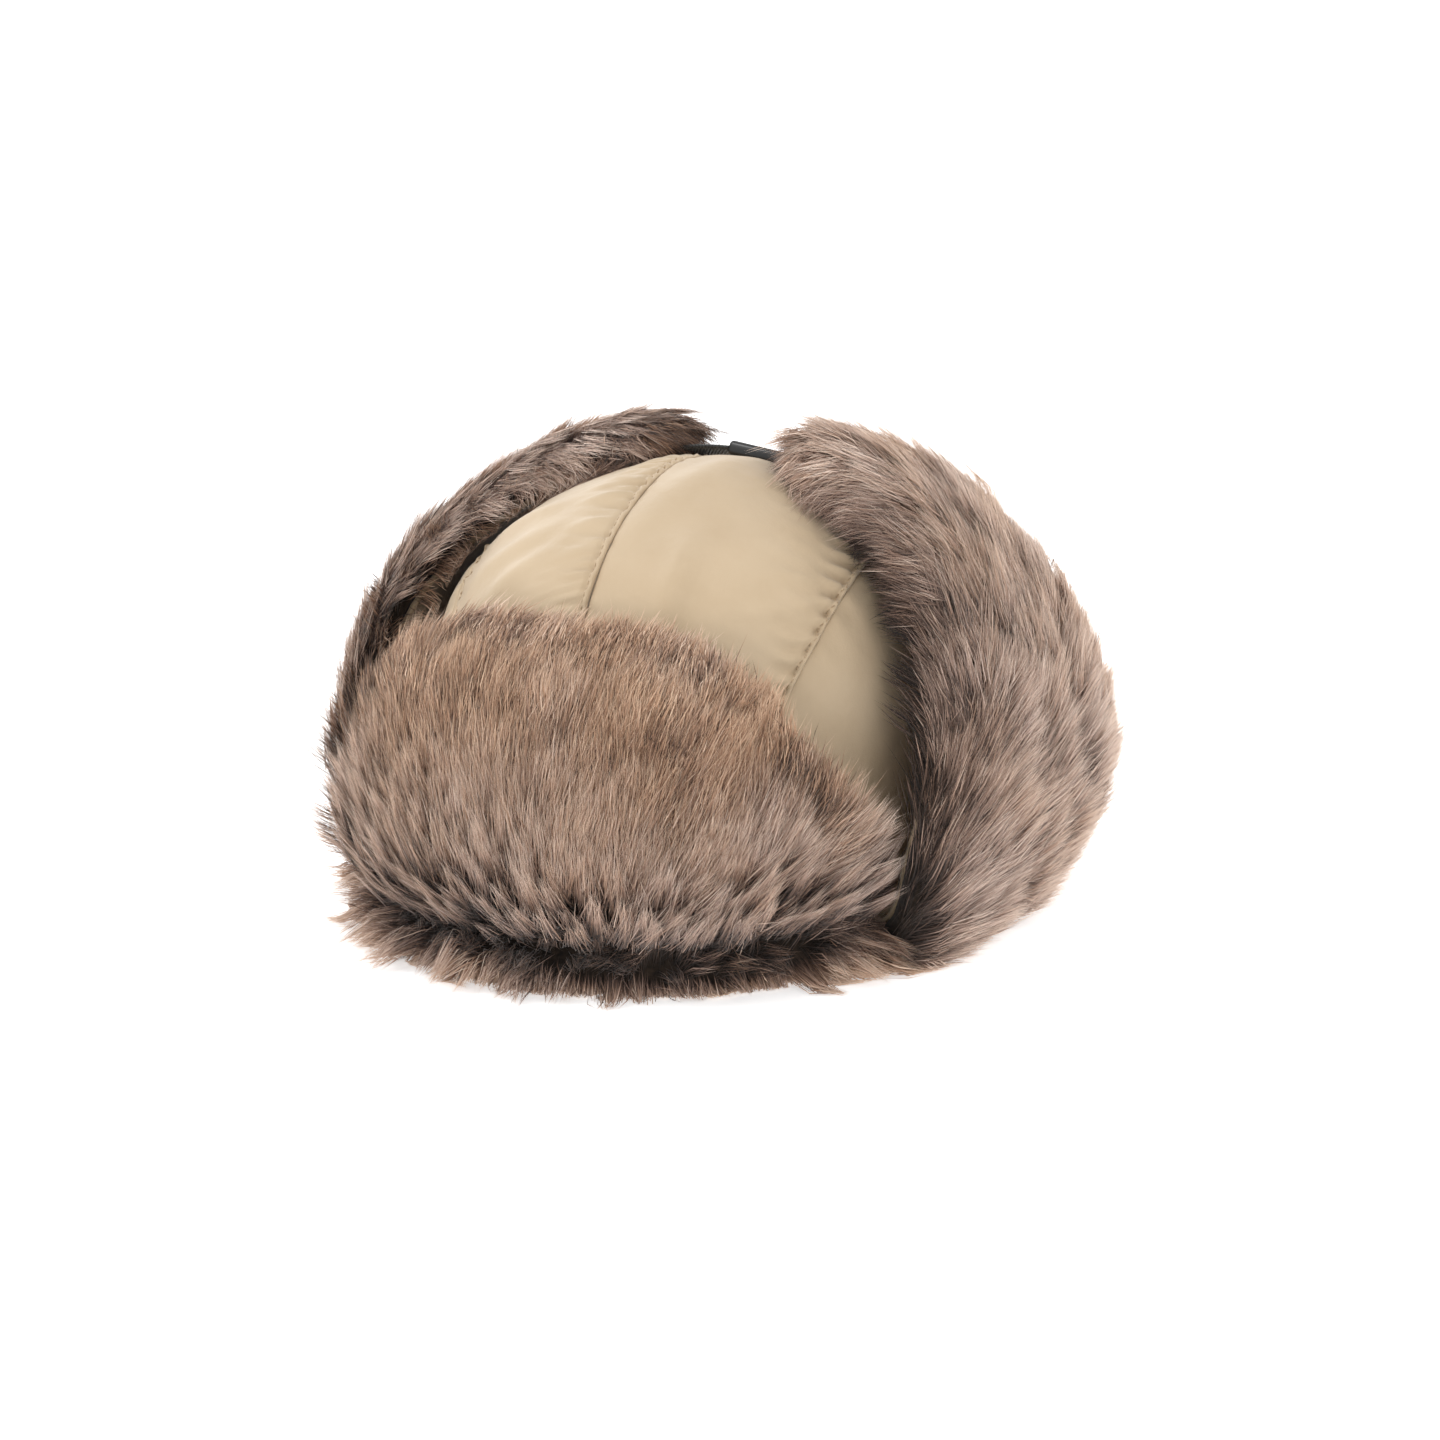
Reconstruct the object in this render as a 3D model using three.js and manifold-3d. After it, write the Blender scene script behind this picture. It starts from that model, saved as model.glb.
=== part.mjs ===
// Ushanka: a sewn trapper hat that rests on a surface with its fur flaps folded up.
// Units are millimetres. +Z is up, the hat faces -Y, and +X is the wearer's left.
// The tables and sizes below are measured from the middle of the crown. At the end the hat is
// moved so that the origin is on the surface, below the middle of the whole hat.

import * as THREE from 'three';
import Module from 'manifold-3d';

const wasm = await Module();
wasm.setup();

// Driving dimensions
const CLOTH_THICKNESS = 2.4; // the nylon side of a flap, turned round its hem
const CROWN_THICKNESS = 3; // nylon, wadding and lining of the crown
const SEAM_GAP = 0.36; // between two sewn pieces
const SEAT_GAP = 0.4; // between the cloth and the pile, and below the rim
const RIM_HEIGHT = 12; // lower edge of the crown above the surface
const FUR_PILE = 21; // depth of the pile behind its locks
const LEFT_PUFF = 3.2; // how far the wadding lifts the left top panel between its seams
const RIGHT_PUFF = 1.4; // the right one, under the tip of its ear flap
const SIDE_PUFF = 2.6;
const LOCK_WIDTH = 24;
const LOCK_LENGTH = 32;
const LOCK_SINK = 2.5; // how deep a lock's foot and back are set in the pile
const LOCK_CREST = 3; // height of its ridge over the pile
const STRAP_WIDTH = 20;
const STRAP_THICKNESS = 1.8;
const CLASP_LENGTH = 27;
const CLASP_WIDTH = 25;
const CLASP_THICKNESS = 5.5;
const CLASP_CORNER = 4;
const CLASP_BEVEL = 1.2;
const CLASP_START = new THREE.Vector3(10, 31, 167.5); // middle of its edge on the wearer's right
const CLASP_FALL = 7; // degrees, toward the wearer's left
const STRAP_LEAN = 19; // degrees, back down the crown
const STRAP_SEAT = 0.35; // between the strap's ends and what they meet
const STITCH_GAP = 1.3; // between the strap and the cloth that it is sewn down
const LEFT_STRAP_FOOT = 0.5; // how far up the flap it starts
const LEFT_STRAP_PLACE = 0.34; // across the flap at its foot
const RIGHT_STRAP_END = new THREE.Vector3(-20.5, 33, 163.5);
const FRONT_HALF_ANGLE = 68; // round from the middle of the front flap to each end of its fold
const FRONT_ROUNDING = 0.7; // share of its height that the rounded corners take off at the ends
const WALL_LEFT_END = 131; // round from the front, where the left ear flap meets the neck flap
const WHOLE_MIDDLE = new THREE.Vector3(5.6, 0.7, 0); // of the finished hat, from the crown's middle

// Horizontal sections of the crown, from the rim up: half widths to each side of the middle
const CROWN = [
  { height: RIM_HEIGHT, left: 89, right: 89, front: 105, back: 105 },
  { height: 50, left: 92, right: 92, front: 102, back: 106 },
  { height: 85, left: 92, right: 92, front: 91.5, back: 103 },
  { height: 110, left: 89, right: 87, front: 80.5, back: 97 },
  { height: 127, left: 83, right: 79, front: 72, back: 87 },
  { height: 139, left: 74, right: 65, front: 63, back: 72 },
  { height: 150, left: 60, right: 47, front: 50, back: 55 },
  { height: 160, left: 42, right: 28, front: 32, back: 35 },
  { height: 166, left: 25, right: 13, front: 15, back: 17 },
  { height: 168, left: 0, right: 0, front: 0, back: 0 },
];

// Where the seam above a side panel runs: angle round from the front, and height
const SIDE_SEAM = [
  { around: 38, height: 24 },
  { around: 42, height: 55 },
  { around: 48, height: 86 },
  { around: 56, height: 110 },
  { around: 71, height: 129 },
  { around: 92, height: 137 },
  { around: 112, height: 131 },
  { around: 128, height: 112 },
  { around: 140, height: 78 },
  { around: 147, height: 24 },
];

// Sections of the front flap from the fold up: the cloth's height and its distance off the crown
const FRONT_FLAP = [
  { height: 11.5, off: -3.5 },
  { height: 12.2, off: 2 },
  { height: 20, off: 4.5 },
  { height: 34, off: 4.5 },
  { height: 50, off: 4 },
  { height: 66, off: 4 },
  { height: 82, off: 4.5 },
  { height: 98, off: 5 },
  { height: 112, off: 6 },
];

// The front flap's pile from the surface up: height, and how far it stands off the crown.
// The parting above the fold is the narrow row
const FRONT_PILE = [
  { height: 0, off: 25 },
  { height: 8, off: 30 },
  { height: 19, off: 20.5 },
  { height: 33, off: 27 },
  { height: 47, off: 30 },
  { height: 66, off: 32 },
  { height: 86, off: 32 },
  { height: 104, off: 29 },
  { height: 117, off: 18 },
];

// Sections of the cloth wall that the ear flaps and the neck flap make round the crown, on the
// wearer's left, which splays, and on the right. square is the power of the oval, 2 for an
// ellipse, and skew leans it out to the back
const WALL_LEFT = [
  { height: 11.5, side: 85.5, front: 101.5, back: 101.5, square: 2, skew: 0 },
  { height: 12.2, side: 95, front: 110, back: 112, square: 2, skew: 0 },
  { height: 20, side: 111, front: 118, back: 125, square: 2.3, skew: 0.06 },
  { height: 42, side: 118, front: 122, back: 131, square: 2.8, skew: 0.12 },
  { height: 73, side: 117, front: 121, back: 129, square: 3, skew: 0.12 },
  { height: 104, side: 110, front: 115, back: 116, square: 2.8, skew: 0.08 },
  { height: 129, side: 98, front: 106, back: 102, square: 2.6, skew: 0.03 },
  { height: 149, side: 81, front: 98, back: 90, square: 2.5, skew: 0 },
  { height: 163, side: 64, front: 92, back: 80, square: 2.3, skew: 0 },
  { height: 171, side: 49, front: 86, back: 74, square: 2.2, skew: 0 },
];
const WALL_RIGHT = [
  { height: 11.5, side: 85.5, front: 101.5, back: 101.5, square: 2, skew: 0 },
  { height: 12.2, side: 95, front: 110, back: 112, square: 2, skew: 0 },
  { height: 20, side: 104, front: 117, back: 121, square: 2.2, skew: 0 },
  { height: 42, side: 108, front: 121, back: 126, square: 2.5, skew: 0 },
  { height: 73, side: 108, front: 120, back: 125, square: 2.6, skew: 0 },
  { height: 104, side: 101, front: 113, back: 117, square: 2.6, skew: 0 },
  { height: 126, side: 87, front: 104, back: 104, square: 2.6, skew: 0 },
  { height: 145, side: 65, front: 96, back: 94, square: 2.5, skew: 0 },
  { height: 159, side: 41, front: 88, back: 86, square: 2.3, skew: 0 },
  { height: 166.5, side: 22, front: 82, back: 80, square: 2.2, skew: 0 },
];

// Outline of the ear flaps from the fold to the tip: where each starts and ends, as angles
// round from the front
const EAR_FLAP_LEFT = [
  { start: 72, end: 131 },
  { start: 72, end: 131 },
  { start: 73, end: 131 },
  { start: 77, end: 131 },
  { start: 84, end: 130 },
  { start: 87, end: 127 },
  { start: 88.5, end: 122 },
  { start: 90, end: 117 },
  { start: 91, end: 113 },
  { start: 93, end: 110 },
];
const EAR_FLAP_RIGHT = [
  { start: 72, end: 131 },
  { start: 72, end: 131 },
  { start: 72, end: 131 },
  { start: 72, end: 131 },
  { start: 75, end: 130 },
  { start: 79, end: 127 },
  { start: 84, end: 124 },
  { start: 89, end: 120 },
  { start: 94, end: 120 },
  { start: 100, end: 120 },
];

// Foot of the pile under the ear flaps and the neck flap, off the wall at the fold's height
const PILE_FOOT = [
  { height: 0, off: 23 },
  { height: 8, off: 27 },
];

// Rows of locks up each flap's pile: at is the place up the pile, count the locks in the row,
// lean the angle in degrees that it is combed to from straight up, fan what the row's two ends
// add to that, size its share of a full lock, and lift how far its tips stand off in mm
const FRONT_LOCKS = [
  { at: 0.17, count: 13, lean: 180, fan: -20, size: 0.65, lift: 8 },
  { at: 0.31, count: 11, lean: 0, fan: 30, size: 1, lift: 3 },
  { at: 0.49, count: 10, lean: 0, fan: 25, size: 1.1, lift: 1 },
  { at: 0.68, count: 9, lean: 0, fan: 25, size: 1.1, lift: 0 },
  { at: 0.85, count: 9, lean: 0, fan: 22, size: 1, lift: 0 },
];
const EAR_LEFT_LOCKS = [
  { at: 0.27, count: 6, lean: 120, fan: 0, size: 0.8, lift: 7 },
  { at: 0.34, count: 5, lean: 60, fan: 0, size: 1, lift: 3 },
  { at: 0.46, count: 5, lean: 35, fan: 5, size: 1.1, lift: 1 },
  { at: 0.58, count: 4, lean: 12, fan: 15, size: 1.1, lift: 1 },
  { at: 0.71, count: 4, lean: 2, fan: 25, size: 1, lift: 0 },
  { at: 0.86, count: 3, lean: 0, fan: 30, size: 0.8, lift: 0 },
];
const EAR_RIGHT_LOCKS = EAR_LEFT_LOCKS.map((row) => ({ ...row, lean: -row.lean }));
const NECK_LOCKS = [
  { at: 0.3, count: 10, lean: 180, fan: 0, size: 0.75, lift: 7 },
  { at: 0.4, count: 8, lean: 0, fan: 20, size: 1, lift: 2 },
  { at: 0.6, count: 8, lean: 0, fan: 20, size: 1.1, lift: 0 },
  { at: 0.8, count: 7, lean: 0, fan: 20, size: 1, lift: 0 },
];

// Plans of the space that each flap's pile keeps to, for the wearer's left half
const SPLIT = 0.4;
const FRONT_PLAN = [[0, -20], [80, -20], [88, -38], [180, -78], [180, -200]];
const EAR_PLAN = [
  [0, SPLIT - 20],
  [80 + SPLIT, SPLIT - 20],
  [88 + SPLIT, SPLIT - 38],
  [180, SPLIT - 78],
  [180, 150],
  [62, 68],
  [0, 68],
];
const NECK_PLAN = [[0, 68 + SPLIT], [62, 68 + SPLIT], [180 - SPLIT, 150 + SPLIT], [180, 220], [0, 220]];

const FLAP_GAP_ANGLE = 1.1; // between an ear flap and the neck flap
const CELL_HEIGHT = 230;
const CORE_CLEARANCE = 3.8; // over the crown's sections, more than its wadding lifts it
const UP = new THREE.Vector3(0, 0, 1);
const radians = (degrees) => (degrees * Math.PI) / 180;
const mix = (a, b, part) => a + (b - a) * part;
const clamp = (value, low, high) => Math.min(high, Math.max(low, value));

// A table's columns at any place along it, 0 at its first row and 1 at its last
function rowAt(rows, along) {
  const place = clamp(along, 0, 1) * (rows.length - 1);
  const index = Math.min(Math.floor(place), rows.length - 2);
  const part = place - index;
  const before = rows[Math.max(index - 1, 0)];
  const after = rows[Math.min(index + 2, rows.length - 1)];
  const from = rows[index];
  const to = rows[index + 1];
  const row = {};
  for (const key of Object.keys(from)) {
    const slopeFrom = (to[key] - before[key]) / 2;
    const slopeTo = (after[key] - from[key]) / 2;
    const square = part * part;
    const cube = square * part;
    row[key] =
      (2 * cube - 3 * square + 1) * from[key] +
      (cube - 2 * square + part) * slopeFrom +
      (3 * square - 2 * cube) * to[key] +
      (cube - square) * slopeTo;
  }
  return row;
}

// A point of an oval section, at an angle round from the front toward the wearer's left
function ovalPoint(row, around) {
  const power = 2 / (row.square ?? 2);
  const across = Math.sin(radians(around));
  const ahead = Math.cos(radians(around));
  const halfWidth = across > 0 ? row.left : row.right;
  const halfLength = ahead > 0 ? row.front : row.back;
  const x = Math.sign(across) * halfWidth * Math.abs(across) ** power;
  const y = -Math.sign(ahead) * halfLength * Math.abs(ahead) ** power;
  const lean = x > 0 ? (row.skew ?? 0) * y * (x / halfWidth) : 0;
  return new THREE.Vector3(x + lean, y, row.height);
}

// The section of a table at one height
function sectionAt(rows, height) {
  let low = 0;
  let high = 1;
  for (let step = 0; step < 30; step += 1) {
    const middle = (low + high) / 2;
    if (rowAt(rows, middle).height < height) low = middle;
    else high = middle;
  }
  return rowAt(rows, low);
}

// Where a ray from the origin leaves the crown, whose form is drawn in by a thickness
function crownHit(direction, inset) {
  let low = 0;
  let high = 1;
  const place = (along) => {
    const row = rowAt(CROWN, along);
    const height = row.height - inset * Math.min(1, along * 3);
    const scale = height / direction.z;
    const x = direction.x * scale;
    const y = direction.y * scale;
    const halfWidth = Math.max((x > 0 ? row.left : row.right) - inset, 0.01);
    const halfLength = Math.max((y < 0 ? row.front : row.back) - inset, 0.01);
    return { x, y, height, level: Math.hypot(x / halfWidth, y / halfLength) };
  };
  for (let step = 0; step < 40; step += 1) {
    const middle = (low + high) / 2;
    if (place(middle).level < 1) low = middle;
    else high = middle;
  }
  const hit = place(low);
  return new THREE.Vector3(hit.x, hit.y, hit.height);
}

// A closed wall between two grids of points, one on its inner face and one on its outer face
function slabGeometry(columns, lines, innerPoint, outerPoint) {
  const points = [];
  for (const face of [innerPoint, outerPoint]) {
    for (let i = 0; i <= columns; i += 1) {
      for (let j = 0; j <= lines; j += 1) {
        points.push(face(i / columns, j / lines));
      }
    }
  }
  const outerStart = (columns + 1) * (lines + 1);
  const at = (i, j, outer) => (outer ? outerStart : 0) + i * (lines + 1) + j;
  const triangles = [];
  const quad = (a, b, c, d) => triangles.push(a, b, c, a, c, d);
  for (let i = 0; i < columns; i += 1) {
    for (let j = 0; j < lines; j += 1) {
      quad(at(i, j, true), at(i + 1, j, true), at(i + 1, j + 1, true), at(i, j + 1, true));
      quad(at(i, j, false), at(i, j + 1, false), at(i + 1, j + 1, false), at(i + 1, j, false));
    }
    quad(at(i, 0, false), at(i + 1, 0, false), at(i + 1, 0, true), at(i, 0, true));
    quad(at(i, lines, true), at(i + 1, lines, true), at(i + 1, lines, false), at(i, lines, false));
  }
  for (let j = 0; j < lines; j += 1) {
    quad(at(0, j, true), at(0, j + 1, true), at(0, j + 1, false), at(0, j, false));
    quad(at(columns, j, false), at(columns, j + 1, false), at(columns, j + 1, true), at(columns, j, true));
  }
  return closedGeometry(points, triangles);
}

// A geometry from points and triangles, turned so that its faces point outward
function closedGeometry(points, triangles) {
  let volume = 0;
  for (let k = 0; k < triangles.length; k += 3) {
    const [a, b, c] = [points[triangles[k]], points[triangles[k + 1]], points[triangles[k + 2]]];
    volume += a.dot(b.clone().cross(c));
  }
  const index = volume < 0 ? triangles.slice().reverse() : triangles;
  const geometry = new THREE.BufferGeometry();
  const positions = points.flatMap((point) => [point.x, point.y, point.z]);
  geometry.setAttribute('position', new THREE.Float32BufferAttribute(positions, 3));
  geometry.setIndex(index);
  return geometry;
}

function solidOf(geometry) {
  const bare = geometry.index ? geometry : mergedCopy(geometry);
  const vertProperties = new Float32Array(bare.attributes.position.array);
  const triVerts = new Uint32Array(bare.index.array);
  return new wasm.Manifold(new wasm.Mesh({ numProp: 3, vertProperties, triVerts }));
}

function geometryOf(solid) {
  const mesh = solid.getMesh();
  const geometry = new THREE.BufferGeometry();
  geometry.setAttribute('position', new THREE.BufferAttribute(new Float32Array(mesh.vertProperties), 3));
  geometry.setIndex(new THREE.BufferAttribute(new Uint32Array(mesh.triVerts), 1));
  return geometry;
}

// Shared corners of a three.js solid, joined by place alone
function mergedCopy(geometry) {
  const positions = geometry.attributes.position;
  const seen = new Map();
  const points = [];
  const triangles = [];
  for (let k = 0; k < positions.count; k += 1) {
    const point = new THREE.Vector3().fromBufferAttribute(positions, k);
    const key = point.toArray().map((value) => value.toFixed(3)).join(' ');
    if (!seen.has(key)) {
      seen.set(key, points.length);
      points.push(point);
    }
    triangles.push(seen.get(key));
  }
  return closedGeometry(points, triangles);
}

// Crown: two top panels with a seam over the middle, and two side panels
const SEAM_STEPS = 16;

function seamPoint(part, side) {
  const row = rowAt(SIDE_SEAM, part);
  return ovalPoint(sectionAt(CROWN, row.height), side * row.around);
}

function rimPoint(around, side, inset) {
  const rim = { height: RIM_HEIGHT };
  for (const key of ['left', 'right', 'front', 'back']) rim[key] = CROWN[0][key] - inset;
  return ovalPoint(rim, side * around);
}

// Outer edge of a top panel from front to back: a corner on the rim, the side seam, a corner
function topPanelEdge(side) {
  const edge = [rimPoint(SIDE_SEAM[0].around, side, 0)];
  for (let k = 0; k <= SEAM_STEPS; k += 1) {
    edge.push(seamPoint(k / SEAM_STEPS, side));
  }
  edge.push(rimPoint(SIDE_SEAM[SIDE_SEAM.length - 1].around, side, 0));
  return edge;
}

// The seam over the middle, in as many steps as the outer edge
function middleSeam(count) {
  const seam = [];
  for (let k = 0; k < count; k += 1) {
    const part = (2 * k) / (count - 1) - 1;
    const reach = Math.sin((part * Math.PI) / 2);
    const along = 1 - Math.abs(part) ** 1.15;
    const row = rowAt(CROWN, along);
    seam.push(new THREE.Vector3(0, reach > 0 ? row.back : -row.front, row.height));
  }
  return seam;
}

function pullTogether(from, to, part) {
  const length = from.distanceTo(to);
  const gap = Math.min(SEAM_GAP / 2 / length, 0.25);
  return from.clone().lerp(to, mix(gap, 1 - gap, part));
}

function topPanel(side) {
  const edge = topPanelEdge(side);
  const seam = middleSeam(edge.length);
  const columns = edge.length - 1;
  const lines = 7;
  const gapAngle = SEAM_GAP / 3;
  const corners = [[gapAngle, SIDE_SEAM[0].around - gapAngle]];
  corners.push([180 - gapAngle, SIDE_SEAM[SIDE_SEAM.length - 1].around + gapAngle]);
  const point = (u, v, inset) => {
    const k = Math.round(u * columns);
    if (k === 0 || k === columns) {
      const [from, to] = corners[k === 0 ? 0 : 1];
      return rimPoint(mix(from, to, v), side, inset);
    }
    const start = seam[k].clone();
    start.x += (side * SEAM_GAP) / 2;
    const hit = crownHit(pullTogether(start, edge[k], v), inset);
    const puff = side > 0 ? LEFT_PUFF : RIGHT_PUFF;
    const raise = puff * Math.sin(Math.PI * v) ** 0.7 * Math.sin(Math.PI * u) ** 0.5;
    return hit.addScaledVector(hit.clone().normalize(), raise);
  };
  return slabGeometry(columns, lines, (u, v) => point(u, v, CROWN_THICKNESS), (u, v) => point(u, v, 0));
}

function sidePanel(side) {
  const columns = SEAM_STEPS;
  const lines = 5;
  const first = SIDE_SEAM[0].around;
  const last = SIDE_SEAM[SIDE_SEAM.length - 1].around;
  const endGap = SEAM_GAP / 3;
  const point = (u, v, inset) => {
    const around = mix(first + endGap, last - endGap, u);
    if (v === 0) return rimPoint(around, side, inset);
    const bottom = rimPoint(around, side, 0);
    const top = seamPoint(u, side);
    if (u === 0 || u === 1) top.applyAxisAngle(UP, side * radians(u === 0 ? endGap : -endGap));
    const hit = crownHit(bottom.lerp(top, v * (1 - SEAM_GAP / top.distanceTo(bottom))), inset);
    const puff = SIDE_PUFF * Math.sin(Math.PI * v) * Math.sin(Math.PI * u);
    return hit.addScaledVector(hit.clone().normalize(), puff);
  };
  return slabGeometry(columns, lines, (u, v) => point(u, v, CROWN_THICKNESS), (u, v) => point(u, v, 0));
}

// Front flap: its cloth and pile follow the crown, at the distances that its tables give
function grownSection(height, off) {
  const row = sectionAt(CROWN, Math.max(height, RIM_HEIGHT));
  for (const key of ['left', 'right', 'front', 'back']) row[key] += off;
  row.height = height;
  return row;
}

// How much of the flap's height is left at one place along the fold
function frontReach(u) {
  const out = Math.abs(2 * u - 1);
  return 1 - FRONT_ROUNDING * clamp((out - 0.22) / 0.78, 0, 1) ** 1.8;
}

function frontCloth(u, v) {
  const row = rowAt(FRONT_FLAP, v * frontReach(u));
  const around = mix(-FRONT_HALF_ANGLE, FRONT_HALF_ANGLE, u);
  return ovalPoint(grownSection(row.height, row.off), around);
}

function frontPile(u, v) {
  const row = rowAt(FRONT_PILE, v * frontReach(u));
  const around = mix(-FRONT_HALF_ANGLE, FRONT_HALF_ANGLE, u);
  const sink = 0.75 * clamp(v * 2 - 0.3, 0.1, 1) * Math.abs(2 * u - 1) ** 6;
  const off = mix(row.off, FRONT_FLAP[4].off + 6, sink);
  return ovalPoint(grownSection(row.height, off), around);
}

// The wall that the ear flaps and the neck flap lie in, at an angle round from the front
function wallPoint(around, along) {
  const left = rowAt(WALL_LEFT, along);
  const right = rowAt(WALL_RIGHT, along);
  const toRight = clamp((around - WALL_LEFT_END) / (360 - 2 * WALL_LEFT_END), 0, 1);
  const row = {};
  for (const key of Object.keys(left)) row[key] = mix(left[key], right[key], toRight);
  row.left = row.side;
  row.right = row.side;
  return ovalPoint(row, around);
}

// A flap of that wall: start and end are angles at each place up the flap, and reach is how
// much of the wall's height it takes at each place along its fold
function wallFlap(range, reach) {
  return (u, v) => {
    const along = v * reach(u);
    const [start, end] = range(along);
    return wallPoint(mix(start, end, u), along);
  };
}

const earFlapLeft = wallFlap(
  (along) => {
    const row = rowAt(EAR_FLAP_LEFT, along);
    return [row.start, row.end];
  },
  (u) => 1 - 0.05 * Math.abs(2 * u - 1) ** 3,
);
const earFlapRight = wallFlap(
  (along) => {
    const row = rowAt(EAR_FLAP_RIGHT, along);
    return [360 - row.end, 360 - row.start];
  },
  (u) => 1 - 0.05 * Math.abs(2 * u - 1) ** 3,
);
const neckFlap = wallFlap(
  (along) => {
    const left = rowAt(EAR_FLAP_LEFT, along);
    const right = rowAt(EAR_FLAP_RIGHT, along);
    return [left.end + FLAP_GAP_ANGLE, 360 - right.end - FLAP_GAP_ANGLE];
  },
  (u) => 0.56 + 0.22 * Math.abs(2 * u - 1) ** 1.6,
);

// A flap's outward normal at one place, from its slopes along and up
function flapNormal(flap, u, v) {
  const step = 0.02;
  const up = flap(u, Math.min(v + step, 1)).sub(flap(u, Math.max(v - step, 0)));
  const across = flap(Math.min(u + step, 1), v).sub(flap(Math.max(u - step, 0), v));
  return across.cross(up).normalize();
}

function flapAt(flap, u, v, off) {
  return flap(u, v).addScaledVector(flapNormal(flap, u, v), off);
}

function flapCloth(flap, columns, lines) {
  return slabGeometry(columns, lines, flap, (u, v) => flapAt(flap, u, v, CLOTH_THICKNESS));
}

// The pile behind the locks: from the surface it goes up along the cloth on its inner face
function pileBody(flap, outer, columns, lines) {
  const inner = (u, v) => {
    const row = Math.round(v * lines);
    if (row === 0) return flap(u, 0).setZ(0);
    return flapAt(flap, u, (row - 1) / (lines - 1), CLOTH_THICKNESS + SEAT_GAP);
  };
  return slabGeometry(columns, lines, inner, outer);
}

// Outer face of the pile on a flap of the wall, thinner at its tip and at its two edges
function wallPile(flap, lines, startEdge, endEdge) {
  return (u, v) => {
    const row = v * lines;
    const up = mix(0.16, 1, Math.max(row - 2, 0) / (lines - 2));
    const sink = (u < 0.5 ? startEdge : endEdge) * clamp(up * 3 - 0.5, 0.1, 1);
    const atEdge = 1 - sink * Math.abs(2 * u - 1) ** 5;
    const atTip = 1 - 0.55 * clamp((up - 0.7) / 0.3, 0, 1) ** 2;
    if (row > 1.5) return flapAt(flap, u, up, FUR_PILE * atEdge * atTip);
    const foot = PILE_FOOT[Math.round(row)];
    const normal = flapNormal(flap, u, up).setZ(0).normalize();
    return flap(u, up).addScaledVector(normal, foot.off * atEdge).setZ(foot.height);
  };
}

// A number between -1 and 1 that looks random but is the same each time
function unevenness(seed) {
  const wave = Math.sin(seed * 12.9898) * 43758.5453;
  return 2 * (wave - Math.floor(wave)) - 1;
}

// One lock of the pile: a leaf with a sunken foot, a ridge over a wide waist, and a pointed tip
function lockSolid(foot, along, outward, length, width, lift) {
  const aside = along.clone().cross(outward).normalize();
  const waist = foot.clone().addScaledVector(along, length * 0.42).addScaledVector(outward, lift * 0.3);
  const points = [
    foot.clone().addScaledVector(outward, -LOCK_SINK),
    waist.clone().addScaledVector(aside, width / 2).addScaledVector(outward, -0.5 * LOCK_SINK),
    waist.clone().addScaledVector(outward, LOCK_CREST),
    waist.clone().addScaledVector(aside, -width / 2).addScaledVector(outward, -0.5 * LOCK_SINK),
    waist.clone().addScaledVector(outward, -2 * LOCK_SINK),
    foot.clone().addScaledVector(along, length).addScaledVector(outward, lift),
  ];
  const triangles = [];
  for (let side = 0; side < 4; side += 1) {
    const from = 1 + side;
    const to = 1 + ((side + 1) % 4);
    triangles.push(0, from, to, 5, to, from);
  }
  return solidOf(closedGeometry(points, triangles));
}

// The locks over a pile, in rows up the flap. lean is the angle that a row is combed to,
// from straight up the flap toward its end, and fan is what its two edges add to it
function locksOver(outer, rows, seed) {
  const locks = [];
  rows.forEach((row, index) => {
    for (let k = 0; k < row.count; k += 1) {
      const number = seed + index * 37 + k;
      const shift = index % 2 === 0 ? 0.25 : -0.25;
      const u = clamp((k + 0.5 + shift + 0.12 * unevenness(number)) / row.count, 0.02, 0.98);
      const v = row.at + 0.015 * unevenness(number + 0.5);
      const foot = outer(u, v);
      const step = 0.03;
      const up = outer(u, Math.min(v + step, 1)).sub(outer(u, v - step)).normalize();
      const across = outer(Math.min(u + step, 1), v).sub(outer(Math.max(u - step, 0), v)).normalize();
      const outward = across.clone().cross(up).normalize();
      const angle = radians(row.lean + row.fan * (2 * u - 1) + 6 * unevenness(number + 0.7));
      const along = up.multiplyScalar(Math.cos(angle)).addScaledVector(across, Math.sin(angle)).normalize();
      const length = LOCK_LENGTH * row.size * (1 + 0.12 * unevenness(number + 0.3));
      locks.push(lockSolid(foot, along, outward, length, LOCK_WIDTH * row.size, row.lift));
    }
  });
  return locks.reduce((all, lock) => all.add(lock));
}

// Keeps a pile on its own side of its neighbours: clear of the floor, the crown and the next flap
function trimmed(solid, plan) {
  const outline = new THREE.Shape(plan.map(([x, y]) => new THREE.Vector2(x, y)));
  const cell = solidOf(new THREE.ExtrudeGeometry(outline, { depth: CELL_HEIGHT, bevelEnabled: false }));
  const parts = solid.intersect(cell).subtract(crownCore).decompose();
  return parts.reduce((best, each) => (each.volume() > best.volume() ? each : best));
}

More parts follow.
